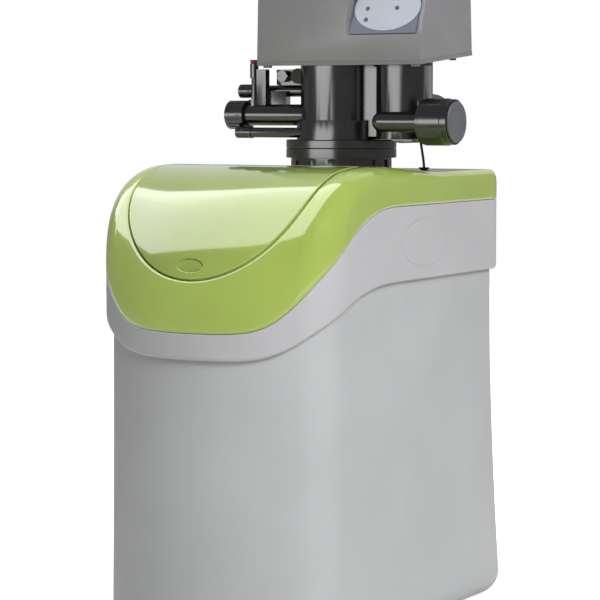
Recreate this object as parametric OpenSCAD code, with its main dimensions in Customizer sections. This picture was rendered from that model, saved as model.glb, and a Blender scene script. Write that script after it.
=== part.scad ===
// Cabinet water softener: brine cabinet with resin vessel, lid with salt hatch, control valve and controller.
// Millimetres, +Z up, front towards -Y, origin on the floor, 200 behind the front of the rim band.

/* [Cabinet] */
// Width over the rim band
band_w = 260; // [240:1:300]
// Depth over the rim band
band_l = 410; // [380:1:460]
// Radius of the bowed front in plan
bow_r = 205; // [190:5:400]
// Radius of the front corners in plan
corner_r = 55; // [45:1:66]
// Radius of the rear corners in plan
rear_r = 16; // [15:1:30]
// How far the rim band stands out over the tank
band_over = 7; // [5:0.5:9]
// Wall of the tank
shell_wall = 4; // [3:0.5:5]
// Thickness of the tank floor
floor_t = 5; // [4:0.5:8]
// How far the foot of the tank flares out at the front
flare_front = 1.5; // [0.5:0.5:8]
// How far the foot of the tank flares out at the back
flare_rear = 14; // [4:0.5:16]
// Radius under the foot
foot_r = 26; // [16:1:32]

/* [Rim band] */
// Height of the band's lower edge at the back
rim_rear_h = 347; // [325:1:390]
// How far the lower edge falls towards the front
rim_drop = 66; // [50:1:75]
// Height of the band at the back
band_rear_h = 73; // [60:1:90]
// Height of the band at the front
band_front_h = 25; // [18:1:40]
// Wall of the band
band_wall = 4; // [3:0.5:5]
// Length of the oval side plate
plate_l = 96; // [70:1:110]
// Height of the oval side plate
plate_h = 47; // [34:1:50]

/* [Lid] */
// Height of the lid over the band at the back
lid_rear_h = 31; // [26:1:50]
// Extra height of the crest in front of the valve
lid_crown = 8; // [3:0.5:12]
// Thickness of one skin of the lid, which is double under the hatch
skin_t = 2.5; // [2:0.25:3]
// Radius of the lid's side edge at the front
side_round_front = 20; // [14:1:30]
// Fullness of the lid's front: 1 is an ellipse, less is fuller
dome_power = 0.78; // [0.7:0.02:1]
// Radius of the lid's side edge at the back
side_round_rear = 10; // [7:0.5:13]
// Radius of the hatch, seen from the front
hatch_r = 102; // [92:1:106]
// Gap round the hatch
hatch_gap = 0.9; // [0.6:0.1:1.5]
// Radius of the hinge barrel on the hatch
barrel_r = 4; // [3.5:0.25:5]
// Radius of the hinge pin
hinge_pin_r = 1.6; // [1.2:0.1:2]
// Length of the thumb grip
grip_l = 27; // [20:1:34]
// Height of the thumb grip
grip_h = 12; // [9:0.5:16]

/* [Resin vessel] */
// Outside radius of the resin vessel
vessel_r = 77; // [65:1:80]
// Wall of the resin vessel
vessel_wall = 4; // [3:0.5:6]
// Distance of the vessel's axis from the back of the band
vessel_back = 113; // [107:1:124]
// Outside radius of the vessel's threaded neck
neck_r = 36; // [34:0.5:40]
// Radius of the riser tube
riser_r = 13.35; // [10:0.05:16]

/* [Valve] */
// Height of the neck rings over the top of the lid
neck_rise = 13; // [11:1:30]
// Radius of the neck rings
ring_r = 57; // [55:1:59]
// Radius of the collar over the rings
collar_r = 43; // [41:1:46]
// Radius of the main column
column_r = 36.5; // [36:0.5:40]
// Height of the main column from the rings to the controller
column_h = 75.5; // [72:0.5:100]
// Radius of the second column
second_r = 29; // [24:0.5:31]
// Distance of the second column from the main one
second_x = 73; // [70:1:80]
// Radius of the piston bore
bore_r = 24; // [20:0.5:27]
// Stroke of the piston
stroke = 24; // [16:1:28]
// Radial running clearance of piston, rod and shafts
run_gap = 0.05; // [0.02:0.01:0.1]
// Radius of the port tubes
port_r = 10; // [8:0.5:13]
// Radius of the union barrels on the ports
union_r = 23.4; // [20:0.2:26]
// Length of the union barrels
union_l = 34; // [18:1:36]
// Radius of the injector tube on the left
injector_r = 11; // [10:0.5:13.5]
// Radius of the injector cap
injector_cap_r = 15; // [14:0.5:17]
// Reach of the injector cap from the valve's axis
injector_reach = 120; // [116:1:136]
// Radius of the brine tube that the collet takes
brine_tube_r = 3.05; // [2.5:0.05:3.2]

/* [Controller] */
// Width of the controller
ctl_w = 189; // [185:1:220]
// Depth of the controller
ctl_d = 117; // [114:1:150]
// Height of the controller
ctl_h = 126; // [118:1:160]
// Offset of the controller to the right of the valve's axis
ctl_shift = 21; // [16:0.5:26]
// How far the front stands before the valve's axis
ctl_front = 47; // [46:1:60]
// How far the lower edge rises towards the back
ctl_rise = 11; // [0:0.5:14]
// Thickness of the lower lip
lip_t = 4; // [3:0.5:6]
// Wall of the cover
cover_wall = 3; // [2:0.25:4]
// How far each side leans in from the lip to the top
cover_draft = 2.6; // [0:0.2:4]
// Height of the panel's foot over the lower edge
panel_foot = 28.5; // [24:0.5:40]
// Lean of the panel
panel_lean = 21; // [15:0.5:26]
// Width of the recess for the panel
panel_w = 84; // [80:0.5:92]
// Travel of the panel buttons
button_travel = 1; // [0.5:0.1:1.5]

/* [Hidden] */
$fn = 48;

// Small shared gaps: seat between fixed pieces, and a hair that keeps cuts clean
seat = 0.3;
hair = 0.5;

// Plan outline of the band: bow, front corner, side and rear corner of the right half
half_w = band_w / 2;
front_y = -200;
rear_y = front_y + band_l;
bow_y = front_y + bow_r;
bow_a = asin((half_w - corner_r) / (bow_r - corner_r));
corner_y = bow_y - (bow_r - corner_r) * cos(bow_a);
side_end = rear_y - rear_r;
bow_n = 5;
corner_n = 9;
side_n = 9;
rear_n = 3;
last = bow_n + corner_n + side_n + rear_n;
count = 2 * last + 1;
arc = PI / 180;
corner_s = bow_r * bow_a * arc;
side_s = corner_s + corner_r * (90 - bow_a) * arc;

// Heights of the S shaped edges, by the distance along the outline from the front
s_start = 88;
s_soft = 14;
s_run = 178;
rim_front_h = rim_rear_h - rim_drop;
edge_rear_h = rim_rear_h + band_rear_h;
edge_front_h = rim_front_h + band_front_h;
top_h = edge_rear_h + lid_rear_h;
crest_y = front_y + 150;
fall_end = crest_y + 140;
round_end = crest_y + 110;
back_round = 9;
shelf_up = 16;
shelf_t = 3;
shelf_in = band_over + 3;
edge_gap = 0.4;
plate_deep = 1.5;
flare_h = 339;

// Hatch and its hinge
hatch_z = top_h + lid_crown;
hatch_t = skin_t - seat;
hinge_y = crest_y - barrel_r;
hinge_z = hatch_z - barrel_r;
boss_x = 60;
boss_l = 12;
ledge = 9;
barrel_end = hatch_r - ledge - 1.5;
knuckle_gap = 0.6;
grip_z = hatch_z - hatch_r + 12;
grip_deep = 1.2;

// Resin vessel and neck
vessel_y = rear_y - vessel_back;
neck_z = top_h + neck_rise;
boot_h = 58;
boot_t = 4;
vessel_bottom = floor_t + 14;
dome_h = 34;
neck_h = 26;
vessel_top = neck_z - 2;
dome_top = vessel_top - neck_h;
neck_bore = neck_r - 6;
resin_low = vessel_bottom + 50;
resin_high = resin_low + 250;
skirt_r = ring_r - 5;
flange_r = ring_r - 7;
ring_low_h = 9.4;
ring_gap = 0.4;
ring_top = neck_z + 18.5;
flange_z = neck_z + 2;

// Valve columns and tubes
column_y = vessel_y - 11;
collar_y = vessel_y - 6.2;
ctl_z = ring_top + column_h;
collar_low = ring_top + 0.5;
collar_top = ring_top + 20;
spigot_r = bore_r + 5;
spigot_top = ctl_z + 16;
bore_low = ring_top + 4;
port_z = neck_z + 37;
inlet_y = vessel_y - 37;
outlet_y = inlet_y + 2 * union_r + 2.2;
inlet_x = second_x + second_r + 13;
drum_r = union_r + 1.6;
drum_x = second_x + 6.5;
drum_z = port_z + 3.4;
outlet_x = drum_x + drum_r + 1.2;
outlet_l = 0.15 * union_l + 8.4;
plug_t = 2.5;
injector_y = vessel_y - 25;
injector_z = neck_z + 43.7;
injector_cap_l = 23;
drain_y = vessel_y - 13;
drain_z = injector_z + 24.8;
drain_r = 6;
drain_reach = injector_reach - 5;
refill_y = injector_y - 12;
refill_r = 5.2;
refill_z = injector_z - injector_cap_r - 3;
refill_reach = injector_reach - 15;
brine_x = injector_cap_l + 7 - injector_reach;
brine_top = ctl_z + 3;
brine_r = brine_tube_r + 1.4;
pilot_x = -60;
disc_x = -43;
pilot_z = drain_z + drain_r + 9.4;
pilot_y = vessel_y - 13;
shaft_r = 2.5;

// Piston and drive
piston_l = 20;
rod_r = 5;
bonnet_l = 14;
gear_z = spigot_top + 2;
gear_t = 8;
gear_teeth = 40;
pinion_teeth = 10;
tooth_mod = 1.4;
gear_pitch = gear_teeth * tooth_mod / 2;
pinion_pitch = pinion_teeth * tooth_mod / 2;
mesh_gap = 0.35;
motor_y = column_y + gear_pitch + pinion_pitch + mesh_gap;
motor_r = 14;
motor_h = 30;
motor_shaft_r = 2;
bracket_z = gear_z + gear_t + 2;
bracket_t = 2.5;

// Controller
ctl_x0 = ctl_shift - ctl_w / 2;
ctl_x1 = ctl_shift + ctl_w / 2;
ctl_y0 = vessel_y - ctl_front;
ctl_y1 = ctl_y0 + ctl_d;
cover_low = ctl_z + lip_t;
cover_top = ctl_z + ctl_h;
panel_z = ctl_z + panel_foot;
panel_x = ctl_x1 - panel_w;
plate_t = 1.4;
plate_up = 88;
oval_w = 74;
oval_h = 50;
oval_t = 0.5;
oval_up = 30;
lens_r = 2.2;
button_r = 4.5;
button_up = 74;
button_pitch = 20;
button_gap = 0.35;
board_back = 13;
board_t = 1.6;

// Brine well
well_r = 21;
well_wall = 2;
well_x = half_w - band_over - shell_wall - well_r - 10;
well_y = rear_y - band_over - shell_wall - well_r - 21;
well_low = floor_t + 11;
well_top = edge_rear_h - 19;
float_rod_r = 3;
float_r = 14;
float_h = 40;
float_low = floor_t + 64;
float_travel = 120;
overflow_z = rim_rear_h - 70;
overflow_r = 8;
overflow_x = -62;
grid_z = 62;
grid_t = 4;

// Sensor cable: points from the controller down through the grommet to the switch
cable_r = 1.4;
cable_y = vessel_y + 53;
cable_x = 62;
grommet_x = 69;
switch_x = 80;
switch_top = top_h - 27;
cable_route = [[cable_x, cable_y, ctl_z + 22], [cable_x, cable_y, ctl_z + 12], [cable_x, cable_y, ctl_z - 8],
    [62.5, cable_y, ctl_z - 30], [63.5, cable_y, ctl_z - 55], [65, cable_y, ctl_z - 78],
    [68, cable_y, ctl_z - 95], [grommet_x, cable_y, top_h + 4], [grommet_x, cable_y, top_h - 8],
    [71, cable_y, top_h - 14], [75, cable_y + 1, top_h - 19], [switch_x - 1, cable_y + 2, top_h - 23],
    [switch_x, cable_y + 2, switch_top + 0.4]];

// A value from 0 to 1 that eases in and out
function ease(t) = let (c = min(max(t, 0), 1)) c * c * (3 - 2 * c);

// Point i of the right half outline, moved outwards by d
function plan(i, d) =
    i <= bow_n ? let (a = bow_a * i / bow_n) [(bow_r + d) * sin(a), bow_y - (bow_r + d) * cos(a)] :
    i <= bow_n + corner_n ?
        let (a = bow_a + (90 - bow_a) * (i - bow_n) / corner_n)
        [half_w - corner_r + (corner_r + d) * sin(a), corner_y - (corner_r + d) * cos(a)] :
    i <= bow_n + corner_n + side_n ?
        [half_w + d, corner_y + (side_end - corner_y) * (i - bow_n - corner_n) / side_n] :
    let (a = 90 * (i - last + rear_n) / rear_n)
    [half_w - rear_r + (rear_r + d) * cos(a), side_end + (rear_r + d) * sin(a)];

// Distance of point i from the front along the outline
function along(i) =
    i <= bow_n ? bow_r * bow_a * arc * i / bow_n :
    i <= bow_n + corner_n ? corner_s + corner_r * (90 - bow_a) * arc * (i - bow_n) / corner_n :
    side_s + plan(i, 0).y - corner_y;

// Share of the S shaped rise at point i, and the heights of the band's lower and upper edges there
function s_share(i) =
    let (t = min(1, s_soft * ln(1 + exp((along(i) - s_start) / s_soft)) / s_run)) 1 - pow(1 - t, 2.2);
function rim_h(i) = rim_front_h + rim_drop * s_share(i);
function edge_h(i) = edge_front_h + (edge_rear_h - edge_front_h) * s_share(i);

// Height of the lid along its middle at depth y, and the radius of its side edge there
function lid_mid(y) = top_h + lid_crown * (1 - ease((y - crest_y) / (fall_end - crest_y)));
function side_round(y) =
    side_round_front + (side_round_rear - side_round_front) * ease((y - crest_y) / (round_end - crest_y));
function drop(over, r) = over <= 0 ? 0 : r - sqrt(max(0, r * r - over * over));

// One closed ring from the offsets and heights of the right half
function ring(offs, zs) = concat(
    [for (i = [0:last]) let (p = plan(i, offs[i])) [p.x, p.y, zs[i]]],
    [for (i = [last:-1:1]) let (p = plan(i, offs[i])) [-p.x, p.y, zs[i]]]);
function flat_ring(d, z) = ring([for (i = [0:last]) d], [for (i = [0:last]) z]);

function join(lists) = [for (l = lists) each l];
function band_faces(r0, r1) = [for (k = [0:count - 1]) let (n = (k + 1) % count)
    each [[r0 * count + k, r1 * count + k, r1 * count + n], [r0 * count + k, r1 * count + n, r0 * count + n]]];

// Strip of triangles that closes a ring from side to side
function cap_faces(r, up) = [for (i = [0:last - 1])
    let (a = r * count + i, b = a + 1, c = r * count + count - i - 1, d = r * count + (count - i) % count)
    each i == 0 ? [up ? [c, b, a] : [a, b, c]] : up ? [[c, b, a], [d, c, a]] : [[a, b, c], [a, c, d]]];

// Solid between rings that are closed at both ends
module skin(rings) {
    top = len(rings) - 1;
    polyhedron(join(rings), concat(cap_faces(0, false), join([for (r = [0:top - 1]) band_faces(r, r + 1)]),
        cap_faces(top, true)), convexity = 8);
}

// Solid whose rings close on the first one
module skin_loop(rings) {
    n = len(rings);
    polyhedron(join(rings), join([for (r = [0:n - 1]) band_faces(r, (r + 1) % n)]), convexity = 8);
}

// Round bar along X, along Y, and a ring about Z
module bar_x(x0, x1, y, z, r) translate([x0, y, z]) rotate([0, 90, 0]) cylinder(h = x1 - x0, r = r);
module bar_y(x, y0, y1, z, r, sides = 48)
    translate([x, y0, z]) rotate([-90, 0, 0]) cylinder(h = y1 - y0, r = r, $fn = sides);
module rod(x, y, z0, z1, r) translate([x, y, z0]) cylinder(h = z1 - z0, r = r);
module tube(x, y, z0, z1, r, bore) {
    difference() {
        rod(x, y, z0, z1, r);
        rod(x, y, z0 - hair, z1 + hair, bore);
    }
}

// Profile in Y and Z, extruded along X
module slab_x(x0, x1, points)
    translate([x0, 0, 0]) rotate([90, 0, 90]) linear_extrude(x1 - x0) polygon(points);

// Offset of the tank's wall at point i and height z: drawn in under the band, flared at the foot
function wall_off(i, z) = -band_over + pow(max(0, 1 - z / flare_h), 1.7)
    * (flare_front + (flare_rear - flare_front) * (plan(i, 0).y - front_y) / band_l);
function wall_ring(d, z) = ring([for (i = [0:last]) wall_off(i, z) + d], [for (i = [0:last]) z]);
function foot_ring(d, z) = ring([for (i = [0:last]) wall_off(i, foot_r) + d], [for (i = [0:last]) z]);

module cabinet_shell() {
    arc_n = 5;
    wall_n = 6;
    wall_top = rim_front_h - 6;
    wall_z = [for (k = [0:wall_n]) foot_r + (wall_top - foot_r) * k / wall_n];
    outer_low = [for (k = [0:arc_n - 1]) let (a = 90 * k / arc_n)
        foot_ring(-foot_r * (1 - sin(a)), foot_r * (1 - cos(a)))];
    outer_wall = [for (z = wall_z) wall_ring(0, z)];
    inner_wall = [for (k = [wall_n:-1:1]) wall_ring(-shell_wall, wall_z[k])];
    lip_h = [for (i = [0:last]) rim_h(i) + shelf_up];
    low_h = [for (i = [0:last]) rim_h(i) + shelf_up - 5];
    out = [for (i = [0:last]) -band_over];
    lip_out = [for (i = [0:last]) -band_wall - seat];
    inside = [for (i = [0:last]) -band_over - shell_wall];
    wall_out = rear_y - band_over + flare_rear;
    color([0.76, 0.77, 0.78]) meshed() difference() {
        skin(concat(outer_low, outer_wall, [ring(out, low_h), ring(lip_out, low_h), ring(lip_out, lip_h),
            ring(inside, lip_h)], inner_wall, [foot_ring(-shell_wall, foot_r + floor_t),
            foot_ring(-foot_r, floor_t)]));
        bar_y(overflow_x, rear_y - 40, wall_out + 10, overflow_z, overflow_r + 0.2);
    }
}

module side_oval(x0, x1, grow) {
    plate_y = front_y + 233;
    plate_z = (rim_rear_h + edge_rear_h) / 2;
    translate([x0, plate_y, plate_z]) rotate([90, 0, 90]) linear_extrude(x1 - x0)
        scale([(plate_l + grow) / (plate_h + grow), 1]) circle(d = plate_h + grow, $fn = 64);
}

module rim_band() {
    round_r = 5;
    level = function (up) [for (i = [0:last]) rim_h(i) + up];
    off = function (d) [for (i = [0:last]) d];
    top = [for (i = [0:last]) edge_h(i)];
    color([0.78, 0.78, 0.80]) difference() {
        skin_loop([ring(off(-band_wall), level(0)), ring(off(-round_r * 0.3), level(0)),
            ring(off(-round_r * 0.08), level(round_r * 0.3)), ring(off(0), level(round_r)), ring(off(0), top),
            ring(off(-band_wall), top), ring(off(-band_wall), level(shelf_up + seat + shelf_t)),
            ring(off(-shelf_in), level(shelf_up + seat + shelf_t)), ring(off(-shelf_in), level(shelf_up + seat)),
            ring(off(-band_wall), level(shelf_up + seat))]);
        for (side = [0, 1]) mirror([side, 0, 0]) side_oval(half_w - plate_deep, half_w + hair, 2 * seat);
    }
}

module side_plates() {
    color([0.78, 0.78, 0.80]) for (side = [0, 1]) mirror([side, 0, 0])
        side_oval(half_w - plate_deep + 0.05, half_w + 0.3, 0);
}

// Front and back of the outline at x, moved outwards by d
function front_at(x, d) = let (c = half_w - corner_r, r = corner_r + d, a = abs(x))
    a < (bow_r + d) * sin(bow_a) ? bow_y - sqrt(pow(bow_r + d, 2) - x * x) :
    corner_y - sqrt(max(0, r * r - pow(a - c, 2)));
function back_at(x, d) = let (c = half_w - rear_r, r = rear_r + d, a = abs(x))
    side_end + (a < c ? r : sqrt(max(0, r * r - pow(a - c, 2))));

// Height of the band's upper edge under the front of the outline at x, by the length of the outline to it
function edge_at(x) = let (c = half_w - corner_r, a = min(abs(x), half_w),
    s = a < bow_r * sin(bow_a) ? bow_r * asin(a / bow_r) * arc :
        corner_s + corner_r * (asin((a - c) / corner_r) - bow_a) * arc,
    t = min(1, s_soft * ln(1 + exp((s - s_start) / s_soft)) / s_run))
    edge_front_h + (edge_rear_h - edge_front_h) * (1 - pow(1 - t, 2.2));

// Lid's upper surface: full quarter curves from the front edge to the crest, then the top with rounded edges
function top_at(x, y) = lid_mid(y) - drop(abs(x) - half_w + side_round(y), side_round(y))
    - drop(y - back_at(x, 0) + back_round, back_round);
function lid_rows(d) = let (cols = 14, front_n = 9, back_n = 10)
    [for (k = [0:front_n + back_n]) [for (j = [-cols:cols])
        let (q = sin(90 * j / cols), x = (half_w + d) * q, x0 = half_w * q, a = 90 * k / front_n,
            f = front_at(x, d), b = back_at(x, d), u = (k - front_n) / back_n,
            y = k <= front_n ? f + (crest_y - f) * (1 - pow(cos(a), dome_power)) :
                crest_y + (b - crest_y) * (u < 0.7 ? u / 0.7 * 0.9 : 0.9 + 0.1 * sin(90 * (u - 0.7) / 0.3)))
        [x, y, (k <= front_n ? edge_at(x0) + (top_at(x0, crest_y) - edge_at(x0)) * pow(sin(a), dome_power) :
            top_at(x0, min(y - d * ease((y - crest_y) / 200), back_at(x0, 0)))) + d]]];

// Full form of the lid, drawn in by -d, down to a flat base
module lid_form(d, base) {
    rows = lid_rows(d);
    m = len(rows[0]);
    n = len(rows);
    half = n * m;
    points = concat(join(rows), [for (r = rows) for (p = r) [p.x, p.y, base]]);
    grid = [for (k = [0:n - 2]) for (j = [0:m - 2]) let (p = k * m + j)
        each [[p, p + m, p + m + 1], [p, p + m + 1, p + 1]]];
    under = [for (t = grid) [t[2] + half, t[1] + half, t[0] + half]];
    rim = concat([for (j = [0:m - 2]) j], [for (k = [0:n - 2]) k * m + m - 1],
        [for (j = [m - 1:-1:1]) (n - 1) * m + j], [for (k = [n - 1:-1:1]) k * m]);
    walls = [for (k = [0:len(rim) - 1]) let (p = rim[k], q = rim[(k + 1) % len(rim)])
        each [[p, q, q + half], [p, q + half, p + half]]];
    polyhedron(points, concat(grid, under, walls), convexity = 8);
}

// Lower part of the lid's wall, under the band's upper edge
module below_edge() {
    low = [for (i = [0:last]) rim_front_h - 30];
    high = [for (i = [0:last]) edge_h(i) + edge_gap];
    out = [for (i = [0:last]) 1];
    into = [for (i = [0:last]) -2 * skin_t - 3];
    skin_loop([ring(out, low), ring(out, high), ring(into, high), ring(into, low)]);
}

// Round space of the hatch along Y, up to the depth rear
module hatch_space(r, rear) bar_y(0, front_y - 20, rear, hatch_z, r, 96);

// Curved forms that share one skin
module meshed() resize([0, 0, 0]) children();

module lid_cover() {
    base = rim_front_h;
    slot = hinge_y + barrel_r + hatch_gap;
    color([0.62, 0.74, 0.30]) difference() {
        union() {
            meshed() difference() {
                lid_form(0, base);
                lid_form(-2 * skin_t, base - 10);
                below_edge();
                difference() {
                    hatch_space(hatch_r + hatch_gap, slot);
                    lid_form(-skin_t, base - 10);
                    for (side = [0, 1]) mirror([side, 0, 0]) rear_corner(knuckle_gap, barrel_r / 2);
                }
                hatch_space(hatch_r - ledge, slot);
                translate([0, vessel_y, edge_rear_h]) cylinder(h = 100, r = skirt_r + 8);
                translate([grommet_x, cable_y, top_h - 40]) cylinder(h = 80, r = 4);
            }
            for (side = [0, 1]) mirror([side, 0, 0]) hinge_boss();
        }
        bar_x(-half_w, half_w, hinge_y, hinge_z, hinge_pin_r);
    }
}

// Corner of the hatch opening beside the end of the barrel
module rear_corner(side_gap, ahead) translate([barrel_end + side_gap, hinge_y - ahead, hinge_z - 30])
    cube([half_w, 60, 60]);

// Knuckle that carries the hinge pin in a notch of the hatch, hung from the lid behind the hatch
module hinge_boss() {
    reach = barrel_r + hatch_gap + 6;
    boss_r = barrel_r - 0.25;
    bar_x(boss_x, boss_x + boss_l, hinge_y, hinge_z, boss_r);
    translate([boss_x, hinge_y, hinge_z - boss_r + 0.5]) cube([boss_l, reach, 2 * boss_r - 0.6]);
}

module salt_hatch() {
    notch = boss_l + 1;
    color([0.64, 0.76, 0.32]) difference() {
        union() {
            meshed() difference() {
                lid_form(0, rim_front_h);
                lid_form(-hatch_t, rim_front_h - 10);
                difference() {
                    translate([-half_w - 20, front_y - 30, rim_front_h - 20])
                        cube([2 * half_w + 40, band_l + 60, 400]);
                    hatch_space(hatch_r, hinge_y);
                }
                thumb_recess(0);
                for (side = [0, 1]) mirror([side, 0, 0]) {
                    rear_corner(0, barrel_r + knuckle_gap);
                    translate([boss_x - 0.5, hinge_y - barrel_r - knuckle_gap, hinge_z - 30]) cube([notch, 60, 60]);
                }
            }
            difference() {
                bar_x(-barrel_end, barrel_end, hinge_y, hinge_z, barrel_r);
                for (side = [0, 1]) mirror([side, 0, 0]) translate([boss_x - 0.5, hinge_y - 9, hinge_z - 9])
                    cube([notch, 18, 18]);
            }
        }
        bar_x(-half_w, half_w, hinge_y, hinge_z, hinge_pin_r + run_gap);
    }
}

// Oval recess for the thumb grip, square to the front
module thumb_recess(shrink) {
    face = grip_face();
    translate([0, face + grip_deep, grip_z]) rotate([90, 0, 0]) linear_extrude(20)
        scale([(grip_l - shrink) / (grip_h - shrink), 1]) circle(d = grip_h - shrink);
}

// Depth of the lid's front at the height of the grip
function grip_face() = let (q = asin(pow((grip_z - edge_front_h) / (hatch_z - edge_front_h), 1 / dome_power)))
    front_y + (crest_y - front_y) * (1 - pow(cos(q), dome_power));

module thumb_grip() {
    color([0.58, 0.70, 0.28]) translate([0, grip_face() + grip_deep - 0.05, grip_z]) rotate([90, 0, 0])
        linear_extrude(1) scale([(grip_l - 0.6) / (grip_h - 0.6), 1]) circle(d = grip_h - 0.6);
}

module hatch_pin() {
    color("silver") bar_x(1 - barrel_end, barrel_end - 1, hinge_y, hinge_z, hinge_pin_r);
}

module salt_grid() {
    grid_front = front_y + band_over + foot_r + 6;
    grid_back = vessel_y - vessel_r - boot_t - 4;
    hole_r = 4;
    pitch = 22;
    half = half_w - band_over - shell_wall - 22;
    color([0.90, 0.90, 0.88]) difference() {
        union() {
            translate([-half, grid_front, grid_z]) cube([2 * half, grid_back - grid_front, grid_t]);
            for (x = [30 - half, half - 30]) for (y = [grid_front + 24, grid_back - 14])
                rod(x, y, floor_t + 0.1, grid_z + 1, 8);
        }
        for (x = [-3:3]) for (y = [grid_front + 36:pitch:grid_back - 30])
            translate([x * pitch, y, grid_z - 1]) cylinder(h = grid_t + 2, r = hole_r, $fn = 16);
    }
}

module brine_well() {
    color([0.92, 0.92, 0.90]) difference() {
        union() {
            rod(well_x, well_y, well_low, well_top, well_r);
            rod(well_x, well_y, floor_t + 0.1, well_low + 1, well_r - 8);
        }
        rod(well_x, well_y, well_low + 3, well_top + 1, well_r - well_wall);
        for (a = [0:60:300]) translate([well_x, well_y, well_low + 16]) rotate([0, 90, a])
            cylinder(h = well_r + 2, r = 5, $fn = 24);
    }
}

module well_cap() {
    color([0.15, 0.15, 0.16]) difference() {
        union() {
            rod(well_x, well_y, well_top + 0.1, well_top + 4, well_r + 2);
            rod(well_x, well_y, well_top - 10, well_top + 1, well_r - well_wall - seat);
        }
        rod(well_x, well_y, well_top - 11, well_top + 5, float_rod_r + seat);
    }
}

module float_rod() {
    float_high = float_low + float_h + float_travel + 0.5;
    color("silver") {
        rod(well_x, well_y, well_low + 3.1, well_top + 3.5, float_rod_r);
        rod(well_x, well_y, float_low - 6, float_low - 0.4, float_rod_r + 4);
        rod(well_x, well_y, float_high, float_high + 5.6, float_rod_r + 4);
    }
}

module brine_float() {
    color([0.85, 0.55, 0.18]) difference() {
        rotate_extrude_at(well_x, well_y) polygon([[float_rod_r + run_gap, float_low], [float_r - 3, float_low],
            [float_r, float_low + 3], [float_r, float_low + float_h - 3], [float_r - 3, float_low + float_h],
            [float_rod_r + run_gap, float_low + float_h]]);
    }
}

module rotate_extrude_at(x, y) translate([x, y, 0]) rotate_extrude() children();

module level_switch() {
    color([0.12, 0.12, 0.13]) difference() {
        translate([switch_x - 5, cable_y - 8, well_top + 4.1]) cube([18, 18, switch_top - well_top - 4.1]);
        rod(well_x, well_y, well_top, well_top + 30, float_rod_r + 1);
    }
}

// Outside of the rear wall at the height of the overflow
function overflow_wall() = rear_y + wall_off(last, overflow_z);

module overflow_elbow() {
    out = overflow_wall();
    end = rear_y - band_over + 26;
    color([0.14, 0.14, 0.15]) difference() {
        union() {
            bar_y(overflow_x, out - shell_wall - 12, end, overflow_z, overflow_r);
            bar_y(overflow_x, out + 0.5, out + 5.5, overflow_z, overflow_r + 6);
        }
        bar_y(overflow_x, out - shell_wall - 13, end + 1, overflow_z, overflow_r - 2);
    }
}

module overflow_nut() {
    face = overflow_wall() - shell_wall - 0.5;
    color([0.14, 0.14, 0.15]) difference() {
        bar_y(overflow_x, face - 7, face, overflow_z, overflow_r + 6);
        bar_y(overflow_x, face - 8, face + 1, overflow_z, overflow_r + 0.05);
    }
}

// Half section of the vessel between its outside and its inside
module resin_vessel() {
    steps = 8;
    outer = [for (k = [0:steps]) let (a = 90 * k / steps)
        [vessel_r * sin(a), vessel_bottom + dome_h * (1 - cos(a))]];
    upper = [for (k = [0:steps - 1]) let (a = 90 * k / steps)
        [neck_r + (vessel_r - neck_r) * cos(a), dome_top - dome_h * (1 - sin(a))]];
    inner = vessel_r - vessel_wall;
    upper_in = [for (k = [steps - 1:-1:0]) let (a = 90 * k / steps)
        [neck_bore + (inner - neck_bore) * cos(a), dome_top - vessel_wall - dome_h * (1 - sin(a))]];
    inner_low = [for (k = [steps:-1:0]) let (a = 90 * k / steps)
        [inner * sin(a), vessel_bottom + vessel_wall + dome_h * (1 - cos(a))]];
    color([0.20, 0.32, 0.55]) rotate_extrude_at(0, vessel_y) polygon(concat(outer, upper,
        [[neck_r, dome_top], [neck_r, vessel_top], [neck_bore, vessel_top]], upper_in, inner_low));
}

module vessel_boot() {
    out = vessel_r + boot_t;
    color([0.10, 0.10, 0.11]) rotate_extrude_at(0, vessel_y) polygon([[vessel_r - 30, floor_t + 0.1],
        [vessel_r - 14, floor_t + 0.1], [out, floor_t + 24], [out, floor_t + boot_h],
        [vessel_r + seat, floor_t + boot_h], [vessel_r + seat, floor_t + 30], [vessel_r - 30, floor_t + 9]]);
}

module riser_tube() {
    color([0.93, 0.93, 0.92]) tube(0, vessel_y, resin_low - 22, flange_z + 12, riser_r, riser_r - 2.2);
}

module lower_strainer() {
    low = vessel_bottom + vessel_wall + 4;
    color([0.93, 0.93, 0.92]) difference() {
        rod(0, vessel_y, low, resin_low - 2, riser_r + 12);
        rod(0, vessel_y, resin_low - 22.2, resin_low + 1, riser_r + 0.05);
        rod(0, vessel_y, low + 3, resin_low, riser_r - 2.2);
        for (a = [0:30:330]) translate([0, vessel_y, low + 8]) rotate([0, 0, a])
            translate([riser_r + 6, -1, 0]) cube([8, 2, 16]);
    }
}

module upper_strainer() {
    color([0.93, 0.93, 0.92]) difference() {
        rod(0, vessel_y, dome_top - 20, flange_z - 6, neck_bore - 1);
        rod(0, vessel_y, dome_top - 21, flange_z, riser_r + 0.1);
        for (a = [0:30:330]) translate([0, vessel_y, dome_top - 16]) rotate([0, 0, a])
            translate([neck_bore - 6, -1, 0]) cube([8, 2, 14]);
    }
}

module resin_bed() {
    color([0.55, 0.36, 0.16])
        tube(0, vessel_y, resin_low, resin_high, vessel_r - vessel_wall - seat, riser_r + seat);
}

module neck_seal() {
    color([0.08, 0.08, 0.08]) rotate_extrude_at(0, vessel_y)
        translate([(neck_r + neck_bore) / 2, (vessel_top + flange_z) / 2])
            circle(r = (flange_z - vessel_top) / 2 - 0.05);
}

module riser_seal() {
    color([0.08, 0.08, 0.08]) tube(0, vessel_y, flange_z + 0.1, flange_z + 4, riser_r + 2, riser_r + 0.02);
}

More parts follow.
